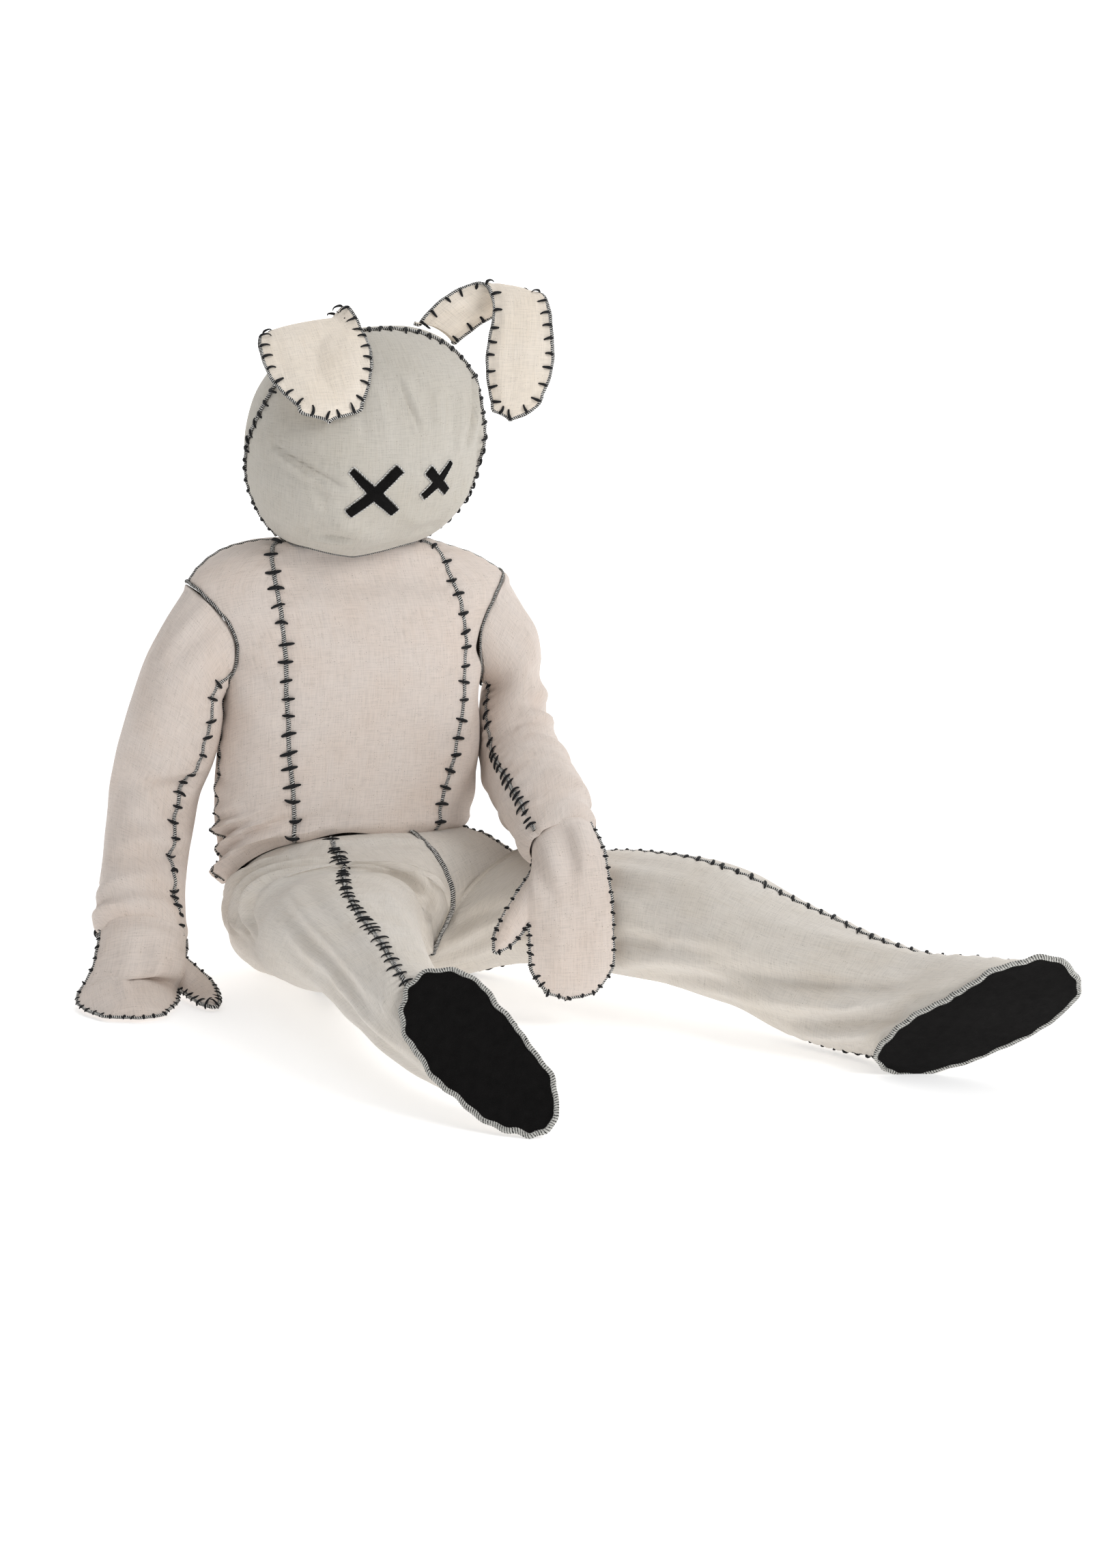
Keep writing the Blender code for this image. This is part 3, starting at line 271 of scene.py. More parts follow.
def leg_span(rows, v):
    a = np.array(rows)
    q = np.array(SEAT_SEAM)
    y, z = q[:, [0, 2]], q[:, [1, 3]]
    x = seat_line(y) - math.copysign(SEAT_GAP, a[0, 6])
    seam = np.stack([x, y, z], -1).reshape(len(x), 6)
    row = along(a, v)
    ends = np.concatenate([seam, np.tile(ring(a[CROTCH + 1], np.float64(0.0)), 2)[None]])
    at = along(ends, np.minimum(v, CROTCH + 1))
    both = 0.5 * (at[..., :3] + at[..., 3:])
    closed = (np.asarray(v) >= CROTCH)[..., None]
    front = np.where(closed, both, at[..., :3])
    back = np.where(closed, both, at[..., 3:])
    size = np.linalg.norm(row[..., 6:9], axis=-1)
    axis = row[..., 6:9] / size[..., None]
    open_ = (np.asarray(v) < CROTCH)
    fa = np.where(open_, angle_at(np.sum((front - row[..., :3]) * axis, -1) / size, row[..., 9]), 0.0)
    ba = np.where(open_, 2 * math.pi - angle_at(np.sum((back - row[..., :3]) * axis, -1) / size, row[..., 9]), 2 * math.pi)
    shut = np.clip(CROTCH - np.asarray(v, float), 0, 1) ** 0.5
    fa, ba = fa * shut, 2 * math.pi - (2 * math.pi - ba) * shut
    past = (np.asarray(v) > CROTCH + 1)[..., None]
    return fa, ba, np.where(past, np.nan, front), np.where(past, np.nan, back)


def foot_shape(row, angle, amount):
    cos, sin = np.cos(angle), np.sin(angle)
    k = 0.14 * sin * cos - 0.16 * np.maximum(cos, 0) * (1 - sin * sin) ** 2
    return row[..., 6:9] * (k * amount)[..., None]


def sole_axis(rows):
    a = np.array(rows)
    n = np.cross(a[-1, 3:6], a[-1, 6:9])
    return n * np.sign(np.dot(n, a[-1, :3] - a[-2, :3])) / np.linalg.norm(n)


def leg_surface(rows):
    a = np.array(rows)
    n = sole_axis(rows)
    side = math.copysign(1, a[0, 6])

    def point(angle, v):
        angle, v = np.broadcast_arrays(np.asarray(angle, float), np.asarray(v, float))
        row = along(a, v)
        p = ring(row, angle)
        p[..., 2] -= row[..., 10] * np.cos(angle) ** 4
        fa, ba, front, back = leg_span(rows, v)
        u = np.clip((angle - fa) / (ba - fa), 0, 1)
        start, end = ring(row, fa), ring(row, ba)
        start[..., 2] -= row[..., 10] * np.cos(fa) ** 4
        end[..., 2] -= row[..., 10] * np.cos(ba) ** 4
        p = p + foot_shape(row, angle, np.clip(v - (len(a) - 2), 0, 1))
        pull = np.where(np.isnan(front), 0, (front - start)) * ((1 - u) ** 5)[..., None]
        pull = pull + np.where(np.isnan(back), 0, (back - end)) * (u ** 5)[..., None]
        p = p + pull
        left = len(a) - 1 - v
        past = np.maximum(np.sum((p - a[-1, :3]) * n, -1) + 0.012 * left, 0) * (left < 1.5)
        p = p - past[..., None] * n
        p[..., 0] = side * np.minimum(side * p[..., 0], side * seat_line(p[..., 1]) - SEAT_GAP)
        p[..., 2] = np.maximum(p[..., 2], 0.0006)
        return p
    return point


def head_axes():
    yaw, nod = math.radians(HEAD_YAW), math.radians(HEAD_NOD)
    face = np.array([math.sin(yaw) * math.cos(nod), -math.cos(yaw) * math.cos(nod), -math.sin(nod)])
    side = np.array([math.cos(yaw), math.sin(yaw), 0.0])
    return face, side, np.cross(side, -face)


def head_point(direction):
    half = np.array(HEAD_HALF)
    d = unit(direction)
    k = (np.abs(d / half) ** 2.25).sum(-1, keepdims=True) ** (-1 / 2.25)
    p = d * k
    n = unit(np.sign(p) * np.abs(p / half) ** 1.25 / half)
    axis, right, top = (np.array(a) for a in SLUMP_AXES)
    turn = np.degrees(np.arctan2(d @ top, d @ right)) % 360
    return p * (1 + round_table(SLUMP, turn, -1) * np.clip(1 - (d @ axis) ** 2, 0, 1))[..., None] + np.array(HEAD_CENTRE), n


def round_table(pairs, turn, add=0.0):
    out = 0
    for step in (-9, -4.5, 0, 4.5, 9):
        out = out + np.interp((turn + step) % 360, [p[0] for p in pairs], [p[1] for p in pairs]) / 5
    return out + add


def off_head(p, clear):
    d = p - np.array(HEAD_CENTRE)
    surface, _ = head_point(d)
    r, rs = np.linalg.norm(d, axis=-1), np.linalg.norm(surface - np.array(HEAD_CENTRE), axis=-1)
    need = np.maximum(rs + clear - r, 0)
    return p + d / r[..., None] * need[..., None]


# ---------------------------------------------------------------- folds
WAVES = np.random.default_rng(7)
WAVE_DIR = unit(WAVES.normal(size=(9, 3)))
WAVE_LEN = np.array([.30, .24, .19, .16, .13, .11, .09, .075, .062])
WAVE_PHASE = WAVES.uniform(0, 2 * math.pi, 9)


def unevenness(p, amount):
    """Slow swells that no large piece of cloth is without."""
    w = np.zeros(p.shape[:-1])
    for d, length, ph in zip(WAVE_DIR, WAVE_LEN, WAVE_PHASE):
        w += np.sin(p @ d * 2 * math.pi / length + ph) * (length / .16) ** .8
    return w * amount / 3


def fold_profile(x):
    """A soft ridge with shallow troughs beside it."""
    return np.exp(-x * x) - 0.30 * np.exp(-(np.abs(x) - 1.9) ** 2 * 1.4)


def to_line(p, line):
    """Distance from points to a polyline, the place along it from 0 to 1, and the side."""
    best = np.full(p.shape[:-1], 1e9)
    place = np.zeros(p.shape[:-1])
    count = len(line) - 1
    for i in range(count):
        a, b = line[i], line[i + 1]
        ab = b - a
        t = np.clip(((p - a) @ ab) / max(ab @ ab, 1e-12), 0, 1)
        d = np.linalg.norm(p - a - t[..., None] * ab, axis=-1)
        near = d < best
        best = np.where(near, d, best)
        place = np.where(near, (i + t) / count, place)
    return best, place


class Surface:
    """A surface of angle and row, with folds. Each fold: from angle and row, to angle and row, bow in degrees, width in
    metres, height in metres (a trough is below zero)."""

    def __init__(self, point, rows, folds=(), seams=(), swell=.0012, fade=(.0, .0), step=2e-3):
        self.point, self.top, self.swell, self.fade, self.step = point, len(rows) - 1, swell, fade, step
        self.rows = np.array(rows, float)
        self.lines = []
        for a0, v0, a1, v1, bow, width, height in folds:
            t = np.linspace(0, 1, 14)
            a = np.radians(a0 + (a1 - a0) * t + bow * 4 * t * (1 - t))
            self.lines.append((point(a, v0 + (v1 - v0) * t), width, height))
        self.seams = []
        for angle, v0, v1, pull, pucker, pitch in seams:
            v = np.linspace(v0, v1, 60)
            line = point(angle(v), v)
            length = np.concatenate([[0], np.cumsum(np.linalg.norm(np.diff(line, axis=0), axis=1))])
            self.seams.append((line, length[-1], pull, pucker, pitch))
        mid = self.top / 2
        around = point(np.linspace(0, 2 * math.pi, 16, endpoint=False), np.full(16, mid)).mean(0)
        a = np.array([1.2])
        raw = self.raw_normal(a, np.array([mid]))[0]
        self.sign = 1.0 if np.dot(point(a, np.array([mid]))[0] - around, raw) > 0 else -1.0

    def raw_normal(self, angle, v):
        h = self.step
        lo, hi = np.maximum(v - h, 0), np.minimum(v + h, self.top)
        a = self.point(angle + h, v) - self.point(angle - h, v)
        b = self.point(angle, hi) - self.point(angle, lo)
        return unit(np.cross(a, b))

    def at(self, angle, v, folded=True):
        angle, v = np.broadcast_arrays(np.asarray(angle, float), np.asarray(v, float))
        p = self.point(angle, v)
        n = self.raw_normal(angle, v) * self.sign
        if not folded:
            return p, n
        flat = p.reshape(-1, 3)
        h = unevenness(flat, self.swell)
        for line, width, height in self.lines:
            d, t = to_line(flat, line)
            h += height * fold_profile(d / width) * np.sqrt(np.clip(np.sin(math.pi * np.clip(t, .001, .999)), 0, 1))
        keep = np.ones(len(flat))
        for line, length, pull, pucker, pitch in self.seams:
            d, t = to_line(flat, line)
            h -= pull * np.exp(-(d / .007) ** 2)
            if pucker:
                h += pucker * np.sin(2 * math.pi * t * length / pitch) * np.exp(-((d - .010) / .010) ** 2)
        h = h.reshape(v.shape)
        if self.fade[0]:
            h = h * np.clip(v / self.fade[0], 0, 1)
        if self.fade[1]:
            h = h * np.clip((self.top - v) / self.fade[1], 0, 1)
        return p + n * h[..., None], n


# ---------------------------------------------------------------- meshes
def grid_faces(rows, cols, first=0):
    i, j = np.meshgrid(np.arange(rows - 1), np.arange(cols - 1), indexing="ij")
    a = first + i * cols + j
    return np.stack([a, a + 1, a + cols + 1, a + cols], -1).reshape(-1, 4)


def clip(points, faces, value, carry):
    """Keeps the part of a sheet where value(points) isn't below zero; carry holds values that go with the points."""
    pts, extra = list(map(np.array, points)), list(map(np.array, carry))
    val = list(value(np.array(points)))
    edges = {(min(i, j), max(i, j)) for f in faces for i, j in zip(f, f[1:] + f[:1]) if val[i] * val[j] < 0}

    def share(i, j):
        return val[i] / (val[i] - val[j])

    near = {}
    for i, j in sorted(edges):
        t = share(i, j)
        for k, m, d in ((i, j, t), (j, i, 1 - t)):
            if d < 0.3 and d < near.get(k, (1.0,))[0]:
                near[k] = (d, pts[k] + (pts[m] - pts[k]) * d, extra[k] + (extra[m] - extra[k]) * d)
    for k, (_, p, e) in near.items():
        pts[k], extra[k], val[k] = p, e, 0.0
    made = {}

    def cross(i, j):
        key = (min(i, j), max(i, j))
        if key not in made:
            t = share(*key)
            made[key] = len(pts)
            pts.append(pts[key[0]] + (pts[key[1]] - pts[key[0]]) * t)
            extra.append(extra[key[0]] + (extra[key[1]] - extra[key[0]]) * t)
            val.append(0.0)
        return made[key]

    out = []
    for f in faces:
        g = [val[i] for i in f]
        if all(x <= 0 for x in g):
            continue
        if all(x >= 0 for x in g):
            out.append(tuple(f))
            continue
        h = []
        for i, j in zip(f, f[1:] + f[:1]):
            if val[i] >= 0:
                h.append(i)
            if val[i] * val[j] < 0:
                h.append(cross(i, j))
        if len(h) > 2:
            out.append(tuple(h))
    used = sorted({i for f in out for i in f})
    new = {k: n for n, k in enumerate(used)}
    return np.array([pts[k] for k in used]), [tuple(new[i] for i in f) for f in out], np.array([extra[k] for k in used])


def area_of(points, faces):
    total = 0.0
    for f in faces:
        q = points[list(f)]
        for k in range(1, len(f) - 1):
            total += np.linalg.norm(np.cross(q[k] - q[0], q[k + 1] - q[0])) / 2
    return total


def vertex_normals(points, faces):
    n = np.zeros_like(points)
    quads = np.array([f for f in faces if len(f) == 4], int).reshape(-1, 4)
    if len(quads):
        c = np.cross(points[quads[:, 2]] - points[quads[:, 0]], points[quads[:, 3]] - points[quads[:, 1]])
        for k in range(4):
            np.add.at(n, quads[:, k], c)
    for f in faces:
        if len(f) != 4:
            c = np.cross(points[f[1]] - points[f[0]], points[f[2]] - points[f[0]])
            for i in f:
                n[i] += c
    return unit(n)


def new_object(name, verts, faces, uv=None, mat=None, sharp=50):
    mesh = bpy.data.meshes.new(name)
    mesh.from_pydata((np.asarray(verts) - [0, 0, NECK_Z]).tolist(), [], [tuple(map(int, f)) for f in faces])
    if uv is not None:
        layer = mesh.uv_layers.new(name="UVMap")
        index = np.empty(len(mesh.loops), np.int32)
        mesh.loops.foreach_get("vertex_index", index)
        layer.data.foreach_set("uv", np.asarray(uv, np.float32)[index].ravel())
    if mat:
        mesh.materials.append(mat)
    mesh.shade_smooth()
    if sharp:
        mesh.set_sharp_from_angle(angle=math.radians(sharp))
    obj = bpy.data.objects.new(name, mesh)
    bpy.context.scene.collection.objects.link(obj)
    return obj


SHEETS = []


def sheet(name, node, pts, faces, uv, mat, flat, area, rests=("root",), toward=None, thick=CLOTH):
    """A thin closed shell between an outer sheet and the same sheet moved inward."""
    pts = np.asarray(pts)
    faces = [tuple(map(int, f)) for f in faces]
    n = vertex_normals(pts, faces)
    if toward is not None:
        if np.sum(n * toward) < 0:
            n, faces = -n, [tuple(reversed(f)) for f in faces]
    count = len(pts)
    both = faces + [tuple(i + count for i in reversed(f)) for f in faces]
    sides = {}
    for f in faces:
        for e in zip(f, f[1:] + f[:1]):
            sides[e] = 1
    for i, j in sides:
        if (j, i) not in sides:
            both.append((j, i, i + count, j + count))
    obj = new_object(name, np.concatenate([pts, pts - n * thick]), both, np.concatenate([uv, uv]), mat)
    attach(obj, "root")
    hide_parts(node)
    SHEETS.append((name, flat, area))
    return obj


def panel(name, node, surf, left, right, v0, v1, mat, cut=None, step=STEP, shape=None):
    """A panel of a surface between two seam curves."""
    probe = np.linspace(v0, v1, 40)
    la, ra = left(probe), right(probe)
    base = surf.point(la[:, None] + (ra - la)[:, None] * np.linspace(0, 1, 24)[None], np.broadcast_to(probe[:, None], (40, 24)))
    width = np.linalg.norm(np.diff(base, axis=1), axis=-1).sum(1)
    length = np.linalg.norm(np.diff(base, axis=0), axis=-1).sum(0)
    rows = int(length.max() / step) + 2
    cols = int(width.max() / step) + 2
    mid = np.concatenate([[0], np.cumsum(np.linalg.norm(np.diff(base[:, 12], axis=0), axis=-1))])
    v = np.interp(np.linspace(0, mid[-1], rows), mid, probe)
    w = np.linspace(0, 1, cols)
    a = left(v)[:, None] + (right(v) - left(v))[:, None] * w[None]
    vv = np.broadcast_to(v[:, None], a.shape)
    p, n = surf.at(a, vv)
    flat_p, _ = surf.at(a, vv, folded=False)
    if shape:
        p = shape(p, n, a, vv)
    du = np.linalg.norm(np.diff(flat_p, axis=1), axis=-1)
    u = np.concatenate([np.zeros((rows, 1)), np.cumsum(du, 1)], 1)
    u = u - u[:, cols // 2][:, None]
    dv = np.linalg.norm(np.diff(flat_p, axis=0), axis=-1)
    y = np.concatenate([np.zeros((1, cols)), np.cumsum(dv, 0)], 0)
    y = 0.5 * y + 0.5 * y[:, cols // 2][:, None]
    uv = np.stack([u, y], -1).reshape(-1, 2)
    faces = [tuple(f) for f in grid_faces(rows, cols).tolist()]
    pts, nor, base = p.reshape(-1, 3), n.reshape(-1, 3), flat_p.reshape(-1, 3)
    if cut:
        pts, faces, carry = clip(pts, faces, cut, np.concatenate([uv, nor, base], 1))
        uv, nor, base = carry[:, :2], carry[:, 2:5], carry[:, 5:8]
    area = area_of(base, faces)
    flat = (round(float(width.max()) + .002, 3), round(float(length.max()) + .002, 3))
    return sheet(name, node, pts, faces, uv, mat, flat, area, toward=nor)


# ---------------------------------------------------------------- threads
def tube(rings_, uv_u, faces_from=0, closed=False, caps=True):
    """Faces and uv of a tube through rings of points, shape (rings, around, 3)."""
    count, around = rings_.shape[:2]
    faces = []
    for i in range(count if closed else count - 1):
        k = (i + 1) % count
        for j in range(around):
            m = (j + 1) % around
            faces.append((faces_from + i * around + j, faces_from + i * around + m, faces_from + k * around + m, faces_from + k * around + j))
    if caps and not closed:
        faces.append(tuple(faces_from + j for j in reversed(range(around))))
        faces.append(tuple(faces_from + (count - 1) * around + j for j in range(around)))
    uv = np.stack([np.repeat(uv_u, around), np.tile(np.arange(around) / around, count)], -1)
    return faces, uv


class Threads:
    """Collects ropes and yarn stitches into one mesh each."""

    def __init__(self):
        self.v, self.f, self.uv, self.count = [], [], [], 0

    def add(self, rings_, u, closed=False):
        faces, uv = tube(rings_, u, self.count, closed)
        self.v.append(rings_.reshape(-1, 3))
        self.f += faces
        self.uv.append(uv)
        self.count += rings_.shape[0] * rings_.shape[1]

    def make(self, name, mat, slot, *nodes):
        obj = new_object(name, np.concatenate(self.v), self.f, np.concatenate(self.uv), mat, sharp=0)
        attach(obj, "root")
        if nodes:
            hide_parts(*nodes)
        return obj


def resample(line, nor, step, closed=False):
    line, nor = np.asarray(line, float), np.asarray(nor, float)
    if closed:
        line, nor = np.concatenate([line, line[:1]]), np.concatenate([nor, nor[:1]])
    s = np.concatenate([[0], np.cumsum(np.linalg.norm(np.diff(line, axis=0), axis=1))])
    count = max(int(s[-1] / step), 3)
    t = np.linspace(0, s[-1], count + 1)
    if closed:
        t = t[:-1]
    out = np.stack([np.interp(t, s, line[:, k]) for k in range(3)], -1)
    n = unit(np.stack([np.interp(t, s, nor[:, k]) for k in range(3)], -1))
    run = np.gradient(out, axis=0)
    if closed:
        run[0], run[-1] = out[1] - out[-1], out[0] - out[-2]
    run = unit(run)
    n = unit(n - np.sum(n * run, -1, keepdims=True) * run)
    return out, n, run, t


RNG = np.random.default_rng(11)


def overlock(threads, line, nor, width=.0062, height=.0036, lift=.0008, closed=False, wander=.0005, pitch=.0030, around=8):
    """A serged edge: a flattened rope whose surface is drawn in between its loops."""
    p, n, run, s = resample(line, nor, .00125, closed)
    side = np.cross(run, n)
    phase = RNG.uniform(0, 6.28, 3)
    p = p + side * (wander * (np.sin(s / .013 + phase[0]) + .6 * np.sin(s / .0051 + phase[1])))[:, None] + n * lift
    th = np.linspace(0, 2 * math.pi, around, endpoint=False)
    rad = 1 + .13 * np.sin(2 * math.pi * s[:, None] / pitch + 1.6 * np.cos(th)[None]) + .05 * np.sin(s / .0091 + phase[2])[:, None]
    rings_ = p[:, None] + rad[..., None] * (np.cos(th)[None, :, None] * side[:, None] * width / 2 + np.sin(th)[None, :, None] * n[:, None] * height / 2)
    threads.add(rings_, s, closed)


def stitch(threads, p, way, nor, length=.021, width=.0034, lift=.0028, bow=0.0, dive=.0012, thin_end=False):
    """One thick yarn stitch: a tapered crescent that starts and ends in the cloth."""
    way = unit(way - np.dot(way, nor) * nor)
    side = np.cross(nor, way)
    t = np.linspace(0, 1, 10)
    arch = np.clip(4 * t * (1 - t), 0, 1)
    c = p + way * ((t - .5) * length)[:, None] + side * (bow * arch)[:, None] + nor * (lift * arch ** .6 - dive * (1 - arch) ** 3)[:, None]
    if thin_end:
        taper = np.clip(1.15 - t, 0, 1) ** .55 * np.clip(t * 7, .45, 1)
    else:
        taper = np.clip(np.sin(math.pi * np.clip(t, .03, .97)), 0, 1) ** .45
    th = np.linspace(0, 2 * math.pi, 7, endpoint=False)
    run = unit(np.gradient(c, axis=0))
    sd = unit(np.cross(run, nor))
    up = np.cross(sd, run)
    r = width / 2 * taper
    rings_ = c[:, None] + r[:, None, None] * (np.cos(th)[None, :, None] * sd[:, None] + .8 * np.sin(th)[None, :, None] * up[:, None])
    threads.add(rings_, t * length)


def stitch_row(threads, line, nor, pitch, length=.021, width=.0034, turn=0.0, one_side=0, start=None, end=None, jitter=.12, lift=.0030, bow=.0012, closed=False, shift=0.0):
    """Stitches along a line: across it, or to one side of it. pitch may be a function of the place along, 0 to 1."""
    p, n, run, s = resample(line, nor, .002, closed)
    total = s[-1]
    at = start if start is not None else pitch(0) * .5 if callable(pitch) else pitch * .5
    stop = total - (end if end is not None else .006)
    while at < stop:
        k = min(int(np.searchsorted(s, at)), len(s) - 1)
        step = pitch(at / total) if callable(pitch) else pitch
        side = np.cross(run[k], n[k])
        ang = math.radians(turn + RNG.normal(0, 60 * jitter))
        way = side * math.cos(ang) + run[k] * math.sin(ang)
        length_ = length * (1 + RNG.normal(0, jitter))
        if one_side:
            way = way * one_side
            stitch(threads, p[k] + way * (length_ * .5 - .0015 + shift), way, n[k], length_, width * (1 + RNG.normal(0, .08)), lift * .8,
                   bow=RNG.normal(0, bow), thin_end=True)
        else:
            stitch(threads, p[k] + n[k] * .0006 + way * RNG.normal(0, .0012), way, n[k], length_, width * (1 + RNG.normal(0, .08)), lift, bow=RNG.normal(0, bow))
        at += step * (1 + RNG.normal(0, jitter * .8))


# ---------------------------------------------------------------- materials
def linear(c):
    return tuple(((x / 255 + .055) / 1.055) ** 2.4 if x > 10 else x / 255 / 12.92 for x in c)


class Nodes:
    def __init__(self, name):
        self.mat = bpy.data.materials.new(name)
        self.mat.use_nodes = True
        self.t = self.mat.node_tree
        self.b = self.t.nodes["Principled BSDF"]

    def node(self, kind, **props):
        n = self.t.nodes.new(kind)
        for k, v in props.items():
            setattr(n, k, v)
        return n

    def link(self, a, b):
        self.t.links.new(a, b)

    def math(self, op, a, b=None, c=None):
        n = self.node("ShaderNodeMath", operation=op)
        for i, x in enumerate((a, b, c)):
            if x is None:
                continue
            if isinstance(x, (int, float)):
                n.inputs[i].default_value = x
            else:
                self.link(x, n.inputs[i])
        return n.outputs[0]

    def noise(self, vector, scale, detail=2, rough=.5, stretch=None):
        if stretch:
            m = self.node("ShaderNodeMapping")
            m.inputs["Scale"].default_value = (*stretch, 1)
            self.link(vector, m.inputs["Vector"])
            vector = m.outputs[0]
        n = self.node("ShaderNodeTexNoise")
        n.inputs["Scale"].default_value = scale
        n.inputs["Detail"].default_value = detail
        n.inputs["Roughness"].default_value = rough
        self.link(vector, n.inputs["Vector"])
        return n.outputs["Fac"]

    def ramp(self, fac, stops):
        r = self.node("ShaderNodeValToRGB")
        while len(r.color_ramp.elements) < len(stops):
            r.color_ramp.elements.new(.5)
        for e, (at, c) in zip(r.color_ramp.elements, stops):
            e.position = at
            e.color = (*c, 1) if len(c) == 3 else c
        self.link(fac, r.inputs[0])
        return r.outputs[0]

    def mix(self, kind, fac, a, b):
        n = self.node("ShaderNodeMix", data_type="RGBA", blend_type=kind)
        for sock, x in ((n.inputs[0], fac), (n.inputs[6], a), (n.inputs[7], b)):
            if isinstance(x, (int, float)):
                sock.default_value = x
            elif isinstance(x, tuple):
                sock.default_value = (*x, 1)
            else:
                self.link(x, sock)
        return n.outputs[2]

    def bump(self, height, strength, distance, before=None):
        n = self.node("ShaderNodeBump")
        n.inputs["Strength"].default_value = strength
        n.inputs["Distance"].default_value = distance
        self.link(height, n.inputs["Height"])
        if before is not None:
            self.link(before, n.inputs["Normal"])
        return n.outputs[0]


def muslin(name, colour, blush, flecks=1.0):
    """Unbleached cotton: slubby warp and weft, faint blotches, tiny dark flecks."""
    m = Nodes(name)
    uv = m.node("ShaderNodeUVMap", uv_map="UVMap").outputs[0]
    warp = m.noise(uv, 1.0, 2, .6, stretch=(620, 34))
    weft = m.noise(uv, 1.0, 2, .6, stretch=(42, 560))
    slub = m.noise(uv, 1.0, 3, .6, stretch=(170, 15))
    blotch = m.noise(uv, 9.0, 3, .55)
    thread = m.math("ADD", m.math("MULTIPLY", warp, .5), m.math("MULTIPLY", weft, .5))
    light, dark = tuple(min(1, c * 1.07) for c in colour), tuple(c * .86 for c in colour)
    base = m.ramp(thread, [(.34, dark), (.50, colour), (.66, light)])
    base = m.mix("MULTIPLY", m.math("MULTIPLY", m.ramp(slub, [(.52, (0, 0, 0)), (.70, (1, 1, 1))]), .30), base, (.93, .90, .86))
    base = m.mix("MULTIPLY", m.ramp(blotch, [(.40, (0, 0, 0)), (.66, (1, 1, 1))]), base, blush)
    fleck = m.noise(uv, 640, 0, .5)
    some = m.noise(uv, 75, 1, .5)
    mask = m.math("MULTIPLY", m.ramp(fleck, [(.735, (0, 0, 0)), (.77, (1, 1, 1))]), m.ramp(some, [(.48, (0, 0, 0)), (.56, (1, 1, 1))]))
    base = m.mix("MIX", m.math("MULTIPLY", mask, .62 * flecks), base, (.16, .11, .075))
    m.link(base, m.b.inputs["Base Color"])
    weave = m.math("ADD", thread, m.math("MULTIPLY", slub, .5))
    b = m.bump(weave, .55, .0011)
    crumple = m.noise(uv, 34, 3, .55)
    b = m.bump(crumple, .35, .0032, b)
    m.link(b, m.b.inputs["Normal"])
    m.b.inputs["Roughness"].default_value = .92
    m.b.inputs["Specular IOR Level"].default_value = .18
    m.b.inputs["Sheen Weight"].default_value = .12
    m.b.inputs["Sheen Roughness"].default_value = .5
    return m.mat


def felt(name):
    m = Nodes(name)
    uv = m.node("ShaderNodeUVMap", uv_map="UVMap").outputs[0]
    fuzz = m.noise(uv, 900, 3, .65)
    soft = m.noise(uv, 60, 3, .6)
    m.link(m.ramp(m.math("ADD", m.math("MULTIPLY", fuzz, .6), m.math("MULTIPLY", soft, .4)), [(.35, (.0022, .0020, .0020)), (.65, (.0085, .0078, .0076))]), m.b.inputs["Base Color"])
    b = m.bump(fuzz, .5, .0009)
    m.link(m.bump(soft, .4, .002, b), m.b.inputs["Normal"])
    m.b.inputs["Roughness"].default_value = .95
    m.b.inputs["Specular IOR Level"].default_value = .08
    m.b.inputs["Sheen Weight"].default_value = .06
    return m.mat


def serging(name, share, pitch=.0029, bright=(.74, .73, .70)):
    """Black and white overlock thread: slanting loops, more or less of them white."""
    m = Nodes(name)
    uv = m.node("ShaderNodeUVMap", uv_map="UVMap").outputs[0]
    sep = m.node("ShaderNodeSeparateXYZ")
    m.link(uv, sep.inputs[0])
    along_, round_ = sep.outputs[0], sep.outputs[1]
    noise = m.noise(uv, 1.0, 2, .6, stretch=(420, 3))
    phase = m.math("ADD", m.math("MULTIPLY", along_, 2 * math.pi / pitch), m.math("MULTIPLY", round_, 4 * math.pi))
    phase = m.math("ADD", phase, m.math("MULTIPLY", noise, 5.0))
    wave = m.math("MULTIPLY_ADD", m.math("SINE", phase), .5, .5)
    grain = m.noise(uv, 1.0, 1, .5, stretch=(1300, 9))
    fac = m.math("ADD", m.math("MULTIPLY", wave, .62), m.math("MULTIPLY", grain, .62))
    edge = 1.0 - share
    m.link(m.ramp(fac, [(max(edge - .10, .02), (.010, .010, .011)), (min(edge + .07, .98), bright)]), m.b.inputs["Base Color"])
    m.link(m.bump(wave, .8, .0008), m.b.inputs["Normal"])
    m.b.inputs["Roughness"].default_value = .7
    m.b.inputs["Specular IOR Level"].default_value = .25
    return m.mat


def yarn(name):
    m = Nodes(name)
    uv = m.node("ShaderNodeUVMap", uv_map="UVMap").outputs[0]
    sep = m.node("ShaderNodeSeparateXYZ")
    m.link(uv, sep.inputs[0])
    phase = m.math("ADD", m.math("MULTIPLY", sep.outputs[0], 2 * math.pi / .0022), m.math("MULTIPLY", sep.outputs[1], 4 * math.pi))
    twist = m.math("MULTIPLY_ADD", m.math("SINE", phase), .5, .5)
    m.link(m.ramp(twist, [(.0, (.0035, .0037, .0045)), (1.0, (.016, .017, .020))]), m.b.inputs["Base Color"])
    m.link(m.bump(twist, .6, .0005), m.b.inputs["Normal"])
    m.b.inputs["Roughness"].default_value = .75
    m.b.inputs["Specular IOR Level"].default_value = .25
    m.b.inputs["Sheen Weight"].default_value = .05
    return m.mat


